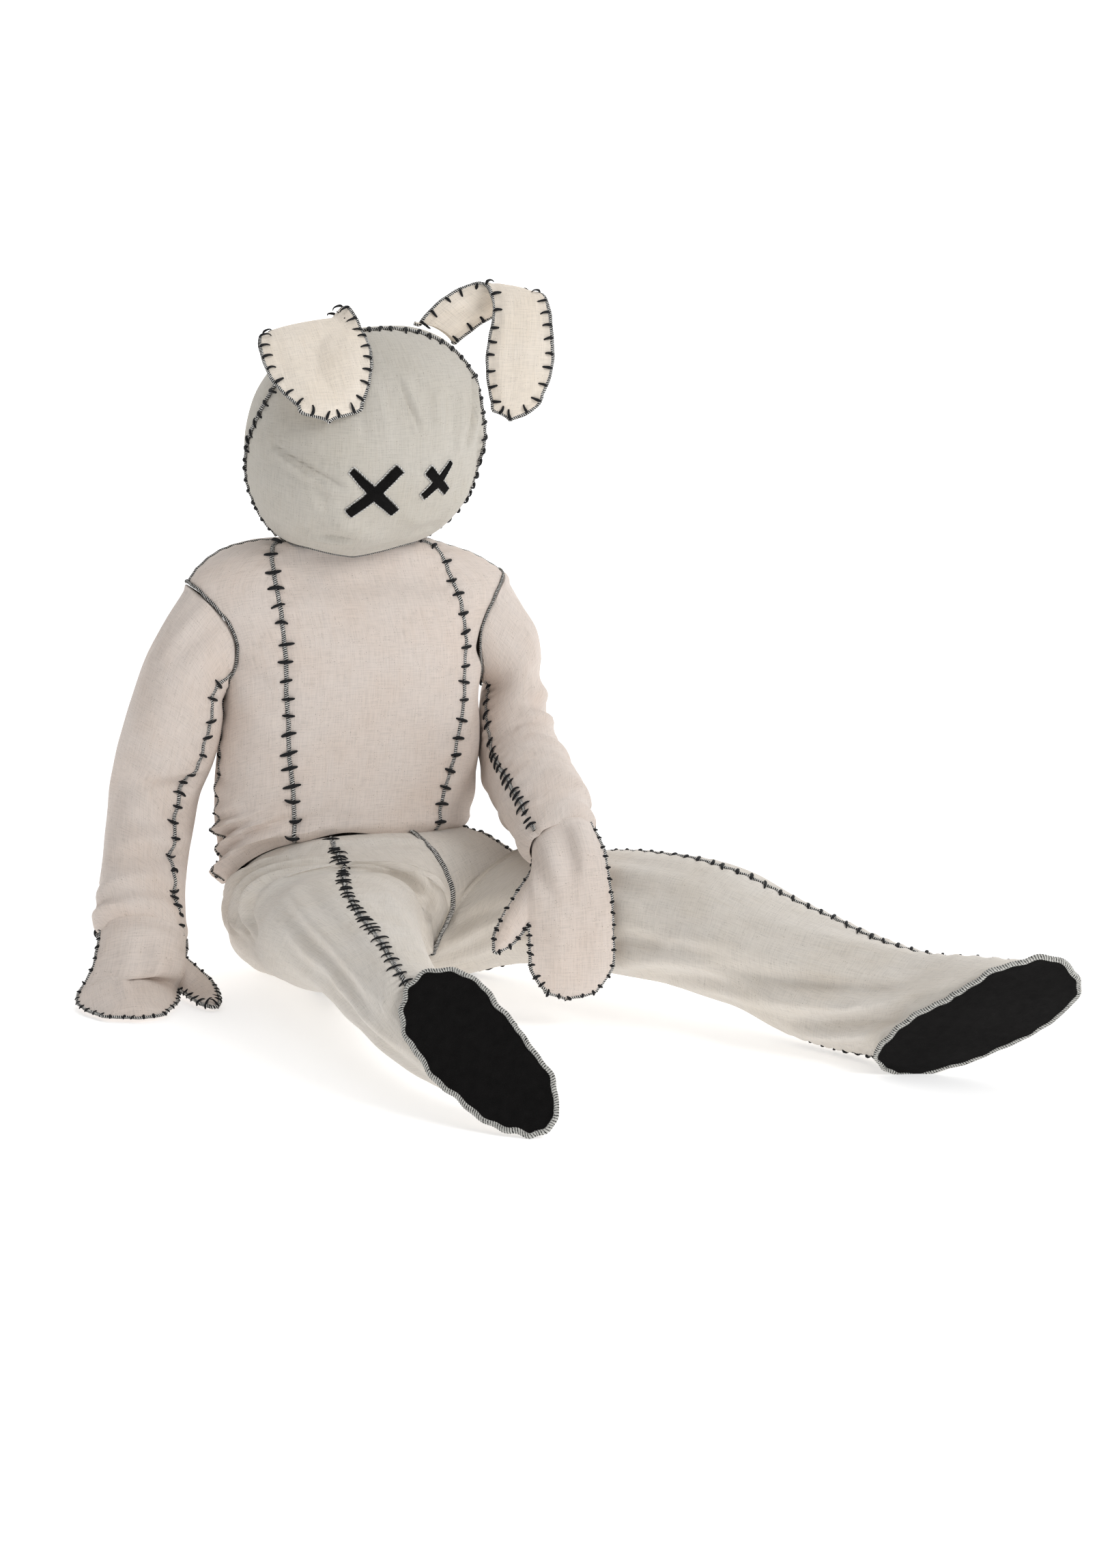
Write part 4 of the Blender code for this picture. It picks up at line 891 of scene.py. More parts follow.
SUIT = muslin("Muslin_pink_beige", linear((223, 212, 204)), (.98, .95, .925))
TROUSERS = muslin("Muslin_grey_cream", linear((223, 217, 209)), (.975, .962, .94), .8)
MASK = muslin("Muslin_grey_beige", linear((200, 195, 186)), (.975, .968, .95), .9)
CREAM = muslin("Muslin_cream", linear((238, 228, 215)), (.985, .965, .935), .7)
BLACK = felt("Felt_black")
SERGED = serging("Overlock_thread", .29)
SERGED_PALE = serging("Overlock_thread_pale", .52, .0034, (.60, .595, .56))
SERGED_DARK = serging("Overlock_thread_dark", .20)
OUTLINE = serging("Outline_thread", .60, .0046, (.80, .79, .76))
YARN = yarn("Yarn_black")


# ---------------------------------------------------------------- suit: torso
def seam_of(rows, column):
    a = np.array(rows)
    return lambda w: angle_at((along(a, w)[..., column] - along(a, w)[..., 0]) / along(a, w)[..., 6], along(a, w)[..., 9])


def degrees_of(rows, column, extra=0.0):
    a = np.array(rows)
    return lambda w: np.radians(along(a, w)[..., column]) + extra


def fixed(value):
    return lambda w: np.full(np.shape(w), float(value))


PI = math.pi
princess_near, princess_far = seam_of(TORSO, 11), seam_of(TORSO, 12)
# Folds: from angle, row; to angle, row; bow in degrees; width; height. 90 is the front, 180 the side at -X.
TORSO_FOLDS = [
    # bunched cloth at the waist, at the side of the bent hip
    (200, .06, 122, .40, 6, .0085, .0150),
    (194, .40, 128, .62, -4, .0080, .0125),
    (190, .74, 136, .80, 5, .0090, .0120),
    (184, 1.05, 146, .98, 4, .0110, .0085),
    (186, 1.45, 150, 1.20, 4, .0130, .0060),
    (182, .22, 124, .52, 3, .0055, -.0120),
    (184, .58, 132, .72, 2, .0055, -.0105),
    (180, .90, 140, .90, -3, .0060, -.0080),
    (150, .30, 112, .16, -3, .0070, .0080),
    (120, .02, 104, .36, 2, .007, .0045),
    (132, .06, 116, .44, 0, .005, -.0040),
    # soft shallow folds from the armpits and over the chest
    (160, 3.6, 126, 2.2, 6, .022, .0032),
    (164, 4.2, 134, 3.2, 4, .015, -.0026),
    (22, 3.7, 50, 2.4, -6, .022, .0032),
    (18, 4.3, 44, 3.3, -4, .015, -.0026),
    (96, 7.6, 118, 5.2, 4, .024, -.0022),
    (80, 7.4, 62, 5.0, -4, .024, -.0022),
    (70, .35, 104, .55, 0, .016, .0030),
    (46, .16, 72, .42, 2, .014, .0034),
    (28, .20, 10, 1.30, -3, .016, .0040),
    (12, .60, -14, .95, 2, .014, .0042),
    # the back
    (200, 1.0, 330, .9, 0, .020, .0050),
    (214, .35, 300, .30, 8, .012, .0065),
    (236, .62, 326, .55, -6, .013, .0048),
    (205, 4.1, 232, 2.4, 6, .022, .0040),
    (335, 4.1, 308, 2.5, -6, .022, .0040),
    (228, 6.2, 312, 6.2, 8, .020, -.0026),
]
TORSO_SEAMS = [
    (princess_near, 0, 9, .0022, .0011, .028),
    (princess_far, 0, 9, .0022, .0011, .028),
    (fixed(PI), 0, 3.6, .0020, .0014, .030),
    (fixed(0.0), 0, 3.6, .0020, .0014, .030),
    (fixed(PI), 5.9, 9, .0018, .0008, .020),
    (fixed(0.0), 5.9, 9, .0018, .0008, .020),
]
torso = Surface(torso_point, TORSO, TORSO_FOLDS, TORSO_SEAMS, swell=.0016)


def torso_shape(p, n, a, v):
    """The lower edge rolls under, and the neck edge turns in."""
    edge = np.exp(-np.maximum(v, 0) / .085)
    top = np.exp(-(9 - v) / .10)
    hang = np.exp(-((v - .16) / .14) ** 2) * .0050
    q = p - n * (.0026 * edge ** 2 + .0022 * top - hang)[..., None]
    # the bloused hem hangs over the waist seam, but for a short length in front
    deg = np.degrees(a) % 360
    q[..., 2] -= np.exp(-np.maximum(v, 0) / .16) * (.0115 - .0065 * np.exp(-((deg - 99) / 12) ** 2))
    return q


panel("cloth_front_centre", "front_centre", torso, princess_far, princess_near, 0, 9, SUIT, shape=torso_shape)
panel("cloth_front_side_near", "front_side_near", torso, princess_near, fixed(PI), 0, 9, SUIT, cut=armhole_value, shape=torso_shape)
panel("cloth_front_side_far", "front_side_far", torso, fixed(0), princess_far, 0, 9, SUIT, cut=armhole_value, shape=torso_shape)
panel("cloth_back", "back", torso, fixed(PI), fixed(2 * PI), 0, 9, SUIT, cut=armhole_value, shape=torso_shape)

# ---------------------------------------------------------------- suit: sleeves
SLEEVE_NEAR_FOLDS = [
    (40, .10, 58, 1.3, 4, .012, .0034),
    (64, .08, 76, 1.5, 2, .010, .0036),
    (86, .10, 92, 1.2, 0, .010, .0026),
    (20, .15, 30, 1.2, 4, .012, -.0026),
    (-40, 2.6, 40, 3.6, 6, .018, .0040),
    (-60, 3.3, 20, 4.1, 5, .014, -.0040),
    (-50, 4.0, 52, 4.5, 5, .016, .0044),
    (-70, 4.9, 40, 5.2, -6, .013, .0058),
    (-78, 5.4, 56, 5.6, 6, .009, -.0052),
    (-60, 5.9, 96, 6.35, 10, .011, .0076),
    (-40, 6.5, 110, 6.75, -8, .012, .0066),
    (20, 6.62, 84, 6.50, 10, .006, -.0056),
    (150, 2.8, 240, 3.6, 6, .018, .0050),
    (150, 3.9, 236, 4.3, -6, .016, .0050),
    (160, 5.2, 240, 5.9, 6, .016, .0050),
    (130, 1.0, 180, 2.4, 6, .020, .0034),
]
SLEEVE_FAR_FOLDS = [
    (30, .15, 40, 1.4, 4, .014, .0034),
    (58, .10, 66, 1.6, 2, .012, .0036),
    (84, .10, 92, 1.3, 0, .010, .0026),
    (10, 1.9, 76, 2.35, 8, .014, .0066),
    (0, 2.3, 84, 2.9, 8, .010, -.0068),
    (-10, 2.8, 70, 3.3, 8, .013, .0076),
    (-24, 3.4, 60, 3.7, 6, .010, -.0068),
    (-20, 3.9, 80, 3.75, -6, .013, .0078),
    (-10, 4.5, 70, 4.8, 6, .016, .0040),
    (-30, 5.3, 50, 5.6, 6, .014, -.0034),
    (0, 6.0, 96, 6.25, 8, .016, .0052),
    (-10, 6.6, 80, 6.5, -6, .010, -.0040),
    (150, 2.4, 250, 3.2, 6, .018, .0060),
    (150, 3.4, 250, 3.9, -6, .016, .0060),
    (160, 5.0, 260, 5.6, 6, .016, .0050),
]


def sleeve(label, rows, side, folds):
    inner, outer, back = degrees_of(rows, 10), degrees_of(rows, 11), degrees_of(rows, 10, 2 * PI)
    seams = [(inner, .1, 7, .0022, .0016, .026), (outer, .1, 7, .0020, .0016, .028)]
    s = Surface(sleeve_surface(rows, side), rows, folds, seams, swell=.0016, fade=(.25, .0))

    def shape(p, n, a, v):
        """The cap turns in at the armhole, and the end rolls in over the mitt."""
        cap = np.exp(-v / .05)
        end = np.exp(-(7 - v) / .07)
        puff = np.exp(-((v - 6.72) / .16) ** 2)
        return p + n * (-.0025 * cap - .0095 * end ** 1.3 + .0030 * puff)[..., None]

    panel(f"cloth_sleeve_{label}_front", f"sleeve_{label}_front", s, inner, outer, 0, 7, SUIT, shape=shape)
    panel(f"cloth_sleeve_{label}_back", f"sleeve_{label}_back", s, outer, back, 0, 7, SUIT, shape=shape)
    return s, inner, outer


sleeve_near, near_in, near_out = sleeve("near", SLEEVE_NEAR, -1, SLEEVE_NEAR_FOLDS)
sleeve_far, far_in, far_out = sleeve("far", SLEEVE_FAR, 1, SLEEVE_FAR_FOLDS)

# ---------------------------------------------------------------- suit: legs
LEG_NEAR_FOLDS = [
    # rounded folds that run from the waist over the hip, one inside the other
    (100, .30, 196, 1.9, 26, .0100, .0105),
    (104, .62, 190, 2.3, 24, .0070, -.0095),
    (106, .84, 186, 2.60, 22, .0090, .0092),
    (110, 1.15, 182, 2.9, 20, .0065, -.0080),
    (112, 1.40, 180, 3.2, 18, .0085, .0068),
    (116, 1.70, 178, 3.5, 16, .0070, -.0050),
    (150, .55, 214, 1.2, 8, .010, .0062),
    (164, .30, 220, .70, 6, .008, -.0056),
    (196, 1.4, 236, 2.6, 8, .012, .0050),
    (204, 2.2, 232, 3.6, 6, .012, -.0040),
    (96, .25, 60, .55, 6, .010, .0042),
    (70, 2.95, 26, 3.5, -8, .012, -.0080),
    (78, 3.30, 34, 3.75, -6, .009, .0056),
    (40, 2.70, 22, 3.60, -4, .007, -.0060),
    (60, 2.5, 34, 3.25, -6, .012, .0044),
    # long soft folds down the thigh and the shin
    (128, 3.6, 150, 6.6, 8, .0130, .0062),
    (140, 4.0, 168, 6.8, 8, .0100, -.0060),
    (160, 4.5, 184, 7.2, 8, .0130, .0060),
    (176, 5.2, 202, 7.5, 6, .0100, -.0056),
    (194, 4.4, 222, 7.2, 6, .016, .0040),
    (70, 4.4, 50, 6.6, -6, .014, .0030),
    (46, 5.2, 30, 7.2, -4, .012, -.0028),
    (112, 7.4, 150, 7.1, 4, .012, .0034),
    (250, 1.2, 300, 3.2, 6, .020, .0040),
    (280, 4.0, 310, 6.2, 6, .018, .0036),
]
LEG_FAR_FOLDS = [
    # lap
    (100, .5, 60, 2.3, -10, .014, .0038),
    (70, 2.1, 30, 2.8, -8, .012, .0040),
    (60, 2.45, 20, 3.1, -8, .010, -.0036),
    (20, 3.0, 8, 4.2, 0, .010, -.0034),
    (4, 3.1, -6, 4.3, 0, .010, .0036),
    (-10, 3.2, -16, 4.5, 0, .009, -.0036),
    (-24, 3.2, -28, 4.4, 0, .010, .0036),
    # behind the knee and along the shin
    (30, 4.2, 22, 5.6, -3, .010, .0050),
    (10, 4.1, -2, 5.6, -3, .010, -.0050),
    (-14, 4.0, -24, 5.0, -3, .010, .0050),
    (-34, 4.9, -8, 5.8, 8, .0110, -.0084),
    (-46, 5.2, -14, 6.3, 8, .0120, .0092),
    (-52, 5.6, -20, 6.9, 6, .0100, -.0078),
    (-6, 5.7, 24, 7.6, 8, .0130, .0074),
    (-22, 6.1, 8, 8.2, 8, .0110, -.0084),
    (-34, 6.3, -6, 8.6, 8, .0120, .0098),
    (-44, 6.9, -22, 8.8, 4, .0090, -.0078),
    (-52, 7.0, -36, 8.8, 4, .0110, .0072),
    (40, 6.6, 58, 8.5, 4, .0140, .0060),
    (62, 4.6, 48, 6.2, -4, .0130, .0052),
    (-18, 7.6, 12, 8.9, 4, .0070, .0048),
    (20, 8.1, 50, 8.9, 0, .011, -.0030),
    (110, 4.6, 140, 6.8, 6, .018, .0040),
    (140, 5.4, 176, 7.6, 6, .016, .0044),
    (170, 3.6, 210, 5.6, 6, .018, .0040),
    (196, 6.0, 224, 8.2, 6, .015, -.0038),
    (150, .9, 214, 1.8, 10, .012, .0060),
    (160, 1.4, 206, 2.5, 8, .010, -.0046),
    (250, 1.2, 296, 3.2, 6, .020, .0040),
]


def leg(label, rows, folds):
    top = len(rows) - 1
    front, under = degrees_of(rows, 11), degrees_of(rows, 12)
    seams = [(front, .1, top, .0022, .0014, .016), (under, .2, top, .0020, .0014, .022)]
    s = Surface(leg_surface(rows), rows, folds, seams, swell=.0015, fade=(.0, .35), step=4e-3)
    node = f"leg_{label}_outer"

    def shape(p, n, a, v):
        """The waist turns in, and the cloth is kept just above the floor."""
        p = p - n * (.0030 * np.exp(-np.maximum(v, 0) / .06))[..., None]
        p[..., 2] = np.maximum(p[..., 2], .0004)
        return p

    panel(f"cloth_{node}", node, s, front, under, 0, top, TROUSERS, shape=shape)
    # the inner panel: two strips that part at the crotch seam and meet along the inseam
    probe = np.linspace(0, top, 60)
    fa, ba, _, _ = leg_span(rows, probe)
    length = np.concatenate([[0], np.cumsum(np.linalg.norm(np.diff(s.point(fa * 0 + .8, probe), axis=0), axis=-1))])
    count = int(length[-1] / STEP) + 2
    v = np.interp(np.linspace(0, length[-1], count), length, probe)
    k = int(np.argmin(np.abs(v - CROTCH)))
    v[k] = CROTCH
    fa, ba, _, _ = leg_span(rows, v)
    fa, ba = np.where(v >= CROTCH, 0, fa), np.where(v >= CROTCH, 2 * PI, ba)
    cols = 34
    t = np.linspace(0, 1, cols)
    vv = np.broadcast_to(v[:, None], (count, cols))
    pts, uvs, nors, bases = [], [], [], []
    for lo, hi in ((fa, front(v)), (under(v), ba)):
        a = lo[:, None] + (hi - lo)[:, None] * t[None]
        p, n = s.at(a, vv)
        base, _ = s.at(a, vv, folded=False)
        p = shape(p, n, a, vv)
        u = np.concatenate([np.zeros((count, 1)), np.cumsum(np.linalg.norm(np.diff(base, axis=1), axis=-1), 1)], 1)
        u = u - (u[:, :1] if lo is fa else u[:, -1:])
        y = np.interp(v, probe, length)[:, None] + 0 * u
        pts.append(p.reshape(-1, 3))
        uvs.append(np.stack([u, y], -1).reshape(-1, 2))
        nors.append(n.reshape(-1, 3))
        bases.append(base.reshape(-1, 3))
    total = count * cols
    faces = np.concatenate([grid_faces(count, cols), grid_faces(count, cols, total)])
    swap = np.arange(2 * total)
    for i in range(k, count):
        swap[total + i * cols + cols - 1] = i * cols
        m = .5 * (pts[0][i * cols] + pts[1][i * cols + cols - 1])
        pts[0][i * cols] = m
    faces = swap[faces]
    used = np.unique(faces)
    new = np.zeros(2 * total, int)
    new[used] = np.arange(len(used))
    pts, uvs, nors, bases = (np.concatenate(x)[used] for x in (pts, uvs, nors, bases))
    faces = [tuple(f) for f in new[faces].tolist()]
    area = area_of(bases, faces)
    width = .5 * sum(np.linalg.norm(np.diff(bases.reshape(-1, 3)[:3], axis=0), axis=-1)) * 0
    wide = [np.linalg.norm(np.diff(s.point(np.linspace(u_, f_ + 2 * PI, 30), np.full(30, w)), axis=0), axis=-1).sum()
            for w, u_, f_ in ((w, float(under(np.array(w))), float(front(np.array(w)))) for w in np.linspace(.5, top, 12))]
    flat = (round(max(wide) + .004, 3), round(float(length[-1]) * 1.12, 3))
    sheet(f"cloth_leg_{label}_inner", f"leg_{label}_inner", pts, faces, uvs, TROUSERS, flat, area, toward=nors)
    return s, front, under


leg_near, near_front, near_under = leg("near", LEG_NEAR, LEG_NEAR_FOLDS)
leg_far, far_front, far_under = leg("far", LEG_FAR, LEG_FAR_FOLDS)


# ---------------------------------------------------------------- soles
def sole_outline(rows, count):
    a = np.array(rows)
    angle = np.linspace(0, 2 * PI, count, endpoint=False)
    row = np.broadcast_to(a[-1], (count, a.shape[1]))
    edge = ring(row, angle) + foot_shape(row, angle, np.ones(count))
    return a[-1, :3] + (edge - a[-1, :3]) * 1.06, angle


def sole(label, rows):
    n = sole_axis(rows)
    a = np.array(rows)[-1]
    count, rings_ = 260, 26
    edge, angle = sole_outline(rows, count)
    c = a[:3]
    e1, e2 = unit(a[3:6]), unit(np.cross(n, a[3:6]))
    pts, uv = [], []
    for k in range(rings_ + 1):
        r = k / rings_
        q = c + (edge - c) * r
        flat = np.stack([(q - c) @ e1, (q - c) @ e2], -1)
        lift = .0012 * np.sin(flat[:, 0] * 38 + 1) * np.sin(flat[:, 1] * 46) * (1 - r ** 3) + .0016 * (1 - r * r)
        scallop = .0011 * np.sin(angle * 15 + 1.2 * np.sin(angle * 3)) * r ** 6
        pts.append(q + n * (GAP_OUT + FELT + lift)[:, None] + unit(q - c + 1e-9) * scallop[:, None])
        uv.append(flat)
    pts, uv = np.concatenate(pts), np.concatenate(uv)
    faces = []
    for k in range(rings_):
        i = np.arange(count)
        j = (i + 1) % count
        faces += np.stack([k * count + i, k * count + j, (k + 1) * count + j, (k + 1) * count + i], -1).tolist()
    # one point in the middle
    faces = [tuple(0 if x < count else x - count + 1 for x in f) for f in faces]
    faces = [tuple(dict.fromkeys(f)) for f in faces]
    pts, uv = np.concatenate([pts[:1], pts[count:]]), np.concatenate([uv[:1], uv[count:]])
    area = area_of(pts, faces)
    size = (round(float(np.ptp(uv[:, 1])) + .002, 3), round(float(np.ptp(uv[:, 0])) + .002, 3))
    sheet(f"felt_sole_{label}", f"sole_{label}", pts, faces, uv, BLACK, size, min(area, size[0] * size[1]), toward=np.broadcast_to(n, pts.shape), thick=FELT)
    return edge, n, angle


GAP_OUT = .0003 + .0020
sole_near = sole("near", LEG_NEAR)
sole_far = sole("far", LEG_FAR)


# ---------------------------------------------------------------- mitts and ears
def lens(rows, v, w, rise, power):
    a = along(rows, v)
    p = a[:, None, 0:3] * (1 - w)[None, :, None] + a[:, None, 3:6] * w[None, :, None]
    run = np.gradient(p, axis=0)
    across = np.broadcast_to((a[:, 3:6] - a[:, 0:3])[:, None], p.shape)
    n = unit(np.cross(across, run))
    h = rise(a)[:, None] * (np.clip(4 * w * (1 - w), 0, 1)[None] ** power(v)[:, None])
    return p, n, h


MITT_NEAR_FOLDS = [
    # from u (0 edge a, 1 edge b), row; to u, row; width; height
    (.30, .60, .42, 2.6, .012, .0030), (.72, .50, .66, 2.0, .014, .0030),
    (.06, .34, .94, .62, .012, .0050), (.05, .80, .60, 1.0, .012, -.0024), (.46, 1.2, .42, 4.2, .007, .0030),
    (.86, .9, .80, 2.6, .010, -.0036),
]
MITT_FAR_FOLDS = [
    (.20, .10, .40, 1.6, .012, .0040), (.60, .10, .55, 1.4, .010, -.0034), (.85, .15, .70, 1.7, .012, .0046),
    (.05, .9, .35, 1.9, .010, -.0036), (.30, 1.6, .34, 4.2, .012, .0020), (.66, 1.8, .62, 4.6, .014, -.0018),
]


def mitt(label, spec, folds, back_side):
    rows = np.array(spec["hand"])
    top = len(rows) - 1
    size = np.linalg.norm(rows[2, 3:6] - rows[2, 0:3])
    span = np.linalg.norm(np.diff(rows[:, 0:3], axis=0), axis=-1).sum()
    n_v, cols = int(span / .0042) + 2, int(size / .0042) + 2
    v = np.linspace(.02, top, n_v)
    i0, i1 = int(np.argmin(abs(v - spec["thumb_from"]))), int(np.argmin(abs(v - spec["thumb_to"])))
    w = np.linspace(0, 1, cols)
    power = lambda q: 0.5 + 0.3 * np.clip(q / 2, 0, 1)
    rim = None
    for part, column, sign in (("back", 6, back_side), ("palm", 7, -back_side)):
        p, n, h = lens(rows, v, w, lambda a: a[:, column], power)
        # fingertips: the last rows bow out between the edges
        run = unit(p[-1] - p[-4])
        bulge = np.clip((v - (top - 1.2)) / 1.2, 0, 1) ** 2
        p = p + run[None] * (.0045 * bulge[:, None] * np.clip(4 * w * (1 - w), 0, 1)[None])[..., None]
        past = np.clip((v - (top - 1.0)) / 1.0, 0, 1)
        have = np.linalg.norm(p[:, -1] - p[:, 0], axis=-1)
        want = np.interp(top - 1.0, v, have) * np.sqrt(np.clip(1 - (past * .88) ** 2.2, .04, 1))
        mid_ = p.mean(1, keepdims=True)
        p = np.where((past > 0)[:, None, None], mid_ + (p - mid_) * np.clip(want / have, 1, 1.8)[:, None, None], p)
        h = h * np.clip((top - v) / .5, .0, 1)[:, None] ** .5
        side = -1 if spec["thumb_side"] else 0
        base = p[i0:i1 + 1, side]
        count = len(base)
        r = np.linspace(0, 1, count)
        lift = spec["thumb_rise"] * np.sin(PI * r) ** .8 * (1 if part == "back" else .3)
        reach = w if spec["thumb_side"] else 1 - w
        h[i0:i1 + 1] += lift[:, None] * (reach ** 2)[None]
        steps = [base]
        for row in spec["thumb"]:
            fingers, wrist = np.array(row[0:3]), np.array(row[3:6])
            steps.append(wrist + (fingers - wrist) * r[:, None])
        length = np.linalg.norm(steps[-1].mean(0) - base.mean(0))
        long_ = int(length / .0040) + 2
        q = np.linspace(0, 2, long_)[1:]
        thumb = along(np.array(steps).reshape(len(steps), -1), q).reshape(len(q), count, 3)
        # a rounded thumb tip
        mid = thumb[-1].mean(0)
        tipward = unit(thumb[-1].mean(0) - thumb[-3].mean(0))
        squeeze = np.clip((q - 1.45) / .55, 0, 1)
        centre = thumb.mean(1, keepdims=True)
        thumb = centre + (thumb - centre) * (1 - .45 * squeeze ** 3)[:, None, None]
        thumb += tipward * (.007 * squeeze[:, None] ** 2 * np.clip(4 * r * (1 - r), 0, 1)[None])[..., None]
        tn = np.broadcast_to(n[(i0 + i1) // 2, side], thumb.shape)
        th = lift[None] * (np.clip(1 - (q / 2) ** 3, 0, 1) ** .6)[:, None]
        pts = np.concatenate([p.reshape(-1, 3), thumb.reshape(-1, 3)])
        nor = np.concatenate([n.reshape(-1, 3), tn.reshape(-1, 3)]) * sign
        hh = np.concatenate([h.reshape(-1), th.reshape(-1)])
        a_row = along(rows, v)
        u_m = (w[None] - .5) * np.linalg.norm(a_row[:, 3:6] - a_row[:, 0:3], axis=-1)[:, None]
        y_m = np.concatenate([[0], np.cumsum(np.linalg.norm(np.diff(p[:, cols // 2], axis=0), axis=-1))])[:, None] + 0 * u_m
        d_thumb = np.concatenate([[0], np.cumsum(np.linalg.norm(np.diff(thumb.mean(1), axis=0), axis=-1))])
        tu = (u_m[i0:i1 + 1, side][None] + (1 if spec["thumb_side"] else -1) * (d_thumb[:, None] + .004))
        ty = np.broadcast_to(y_m[i0:i1 + 1, side][None], tu.shape)
        uv = np.concatenate([np.stack([u_m, y_m], -1).reshape(-1, 2), np.stack([tu, ty], -1).reshape(-1, 2)])
        faces = grid_faces(len(v), cols).tolist()
        edge = [(i0 + i) * cols + (cols - 1 if spec["thumb_side"] else 0) for i in range(count)]
        ids = [edge] + [[len(v) * cols + k * count + i for i in range(count)] for k in range(len(q))]
        for k in range(len(q)):
            for i in range(count - 1):
                f = (ids[k][i], ids[k + 1][i], ids[k + 1][i + 1], ids[k][i + 1])
                faces.append(list(f) if spec["thumb_side"] else list(reversed(f)))
        # outline: edge a, fingertips, edge b, with the thumb's own outline in its place
        hand_a = [i * cols for i in range(len(v))]
        hand_b = [i * cols + cols - 1 for i in range(len(v))]
        tip = [(len(v) - 1) * cols + j for j in range(1, cols - 1)]
        thumb_path = [ids[k][0] for k in range(1, len(ids))] + ids[-1][1:-1] + [ids[k][-1] for k in reversed(range(1, len(ids)))]
        if spec["thumb_side"]:
            hand_b = hand_b[:i0 + 1] + thumb_path + hand_b[i1:]
        else:
            hand_a = hand_a[:i0 + 1] + thumb_path + hand_a[i1:]
        outline = hand_a + tip + hand_b[::-1]
        edge_pts = pts[outline]
        d_edge = np.full(len(pts), 1e9)
        for x in edge_pts[::2]:
            d_edge = np.minimum(d_edge, np.linalg.norm(pts - x, axis=-1))
        hh = np.maximum(hh, 0) + unevenness(pts, .0016)
        for u0, r0, u1, r1, width, height in folds:
            t = np.linspace(0, 1, 8)
            a_ = along(rows, r0 + (r1 - r0) * t)
            uu = (u0 + (u1 - u0) * t)[:, None]
            line = a_[:, 0:3] * (1 - uu) + a_[:, 3:6] * uu
            d, place = to_line(pts, line)
            hh = hh + height * (1 if part == "back" else .6) * fold_profile(d / width) * np.sqrt(np.clip(np.sin(PI * np.clip(place, .001, .999)), 0, 1))
        wrist_end = np.concatenate([np.repeat(v, cols), np.full(thumb.shape[0] * count, 9.0)])
        hh = hh * np.clip(d_edge / .006, 0, 1) + .0012 * np.clip(1 - wrist_end / .25, 0, 1)
        outer = pts + nor * (np.maximum(hh, 0) + .0009 + CLOTH * .5)[:, None]
        area = area_of(pts, faces)
        flat = (round(float(np.ptp(uv[:, 0])) + .012, 3), round(float(np.ptp(uv[:, 1])) + .012, 3))
        sheet(f"cloth_mitt_{label}_{part}", f"mitt_{label}_{part}", outer, faces, uv, SUIT, flat, area, toward=nor)
        if part == "back":
            rim = (pts[outline], nor[outline], len(hand_a), len(tip))
    return rim


mitt_near_rim = mitt("near", MITT_NEAR, MITT_NEAR_FOLDS, -1)
mitt_far_rim = mitt("far", MITT_FAR, MITT_FAR_FOLDS, -1)


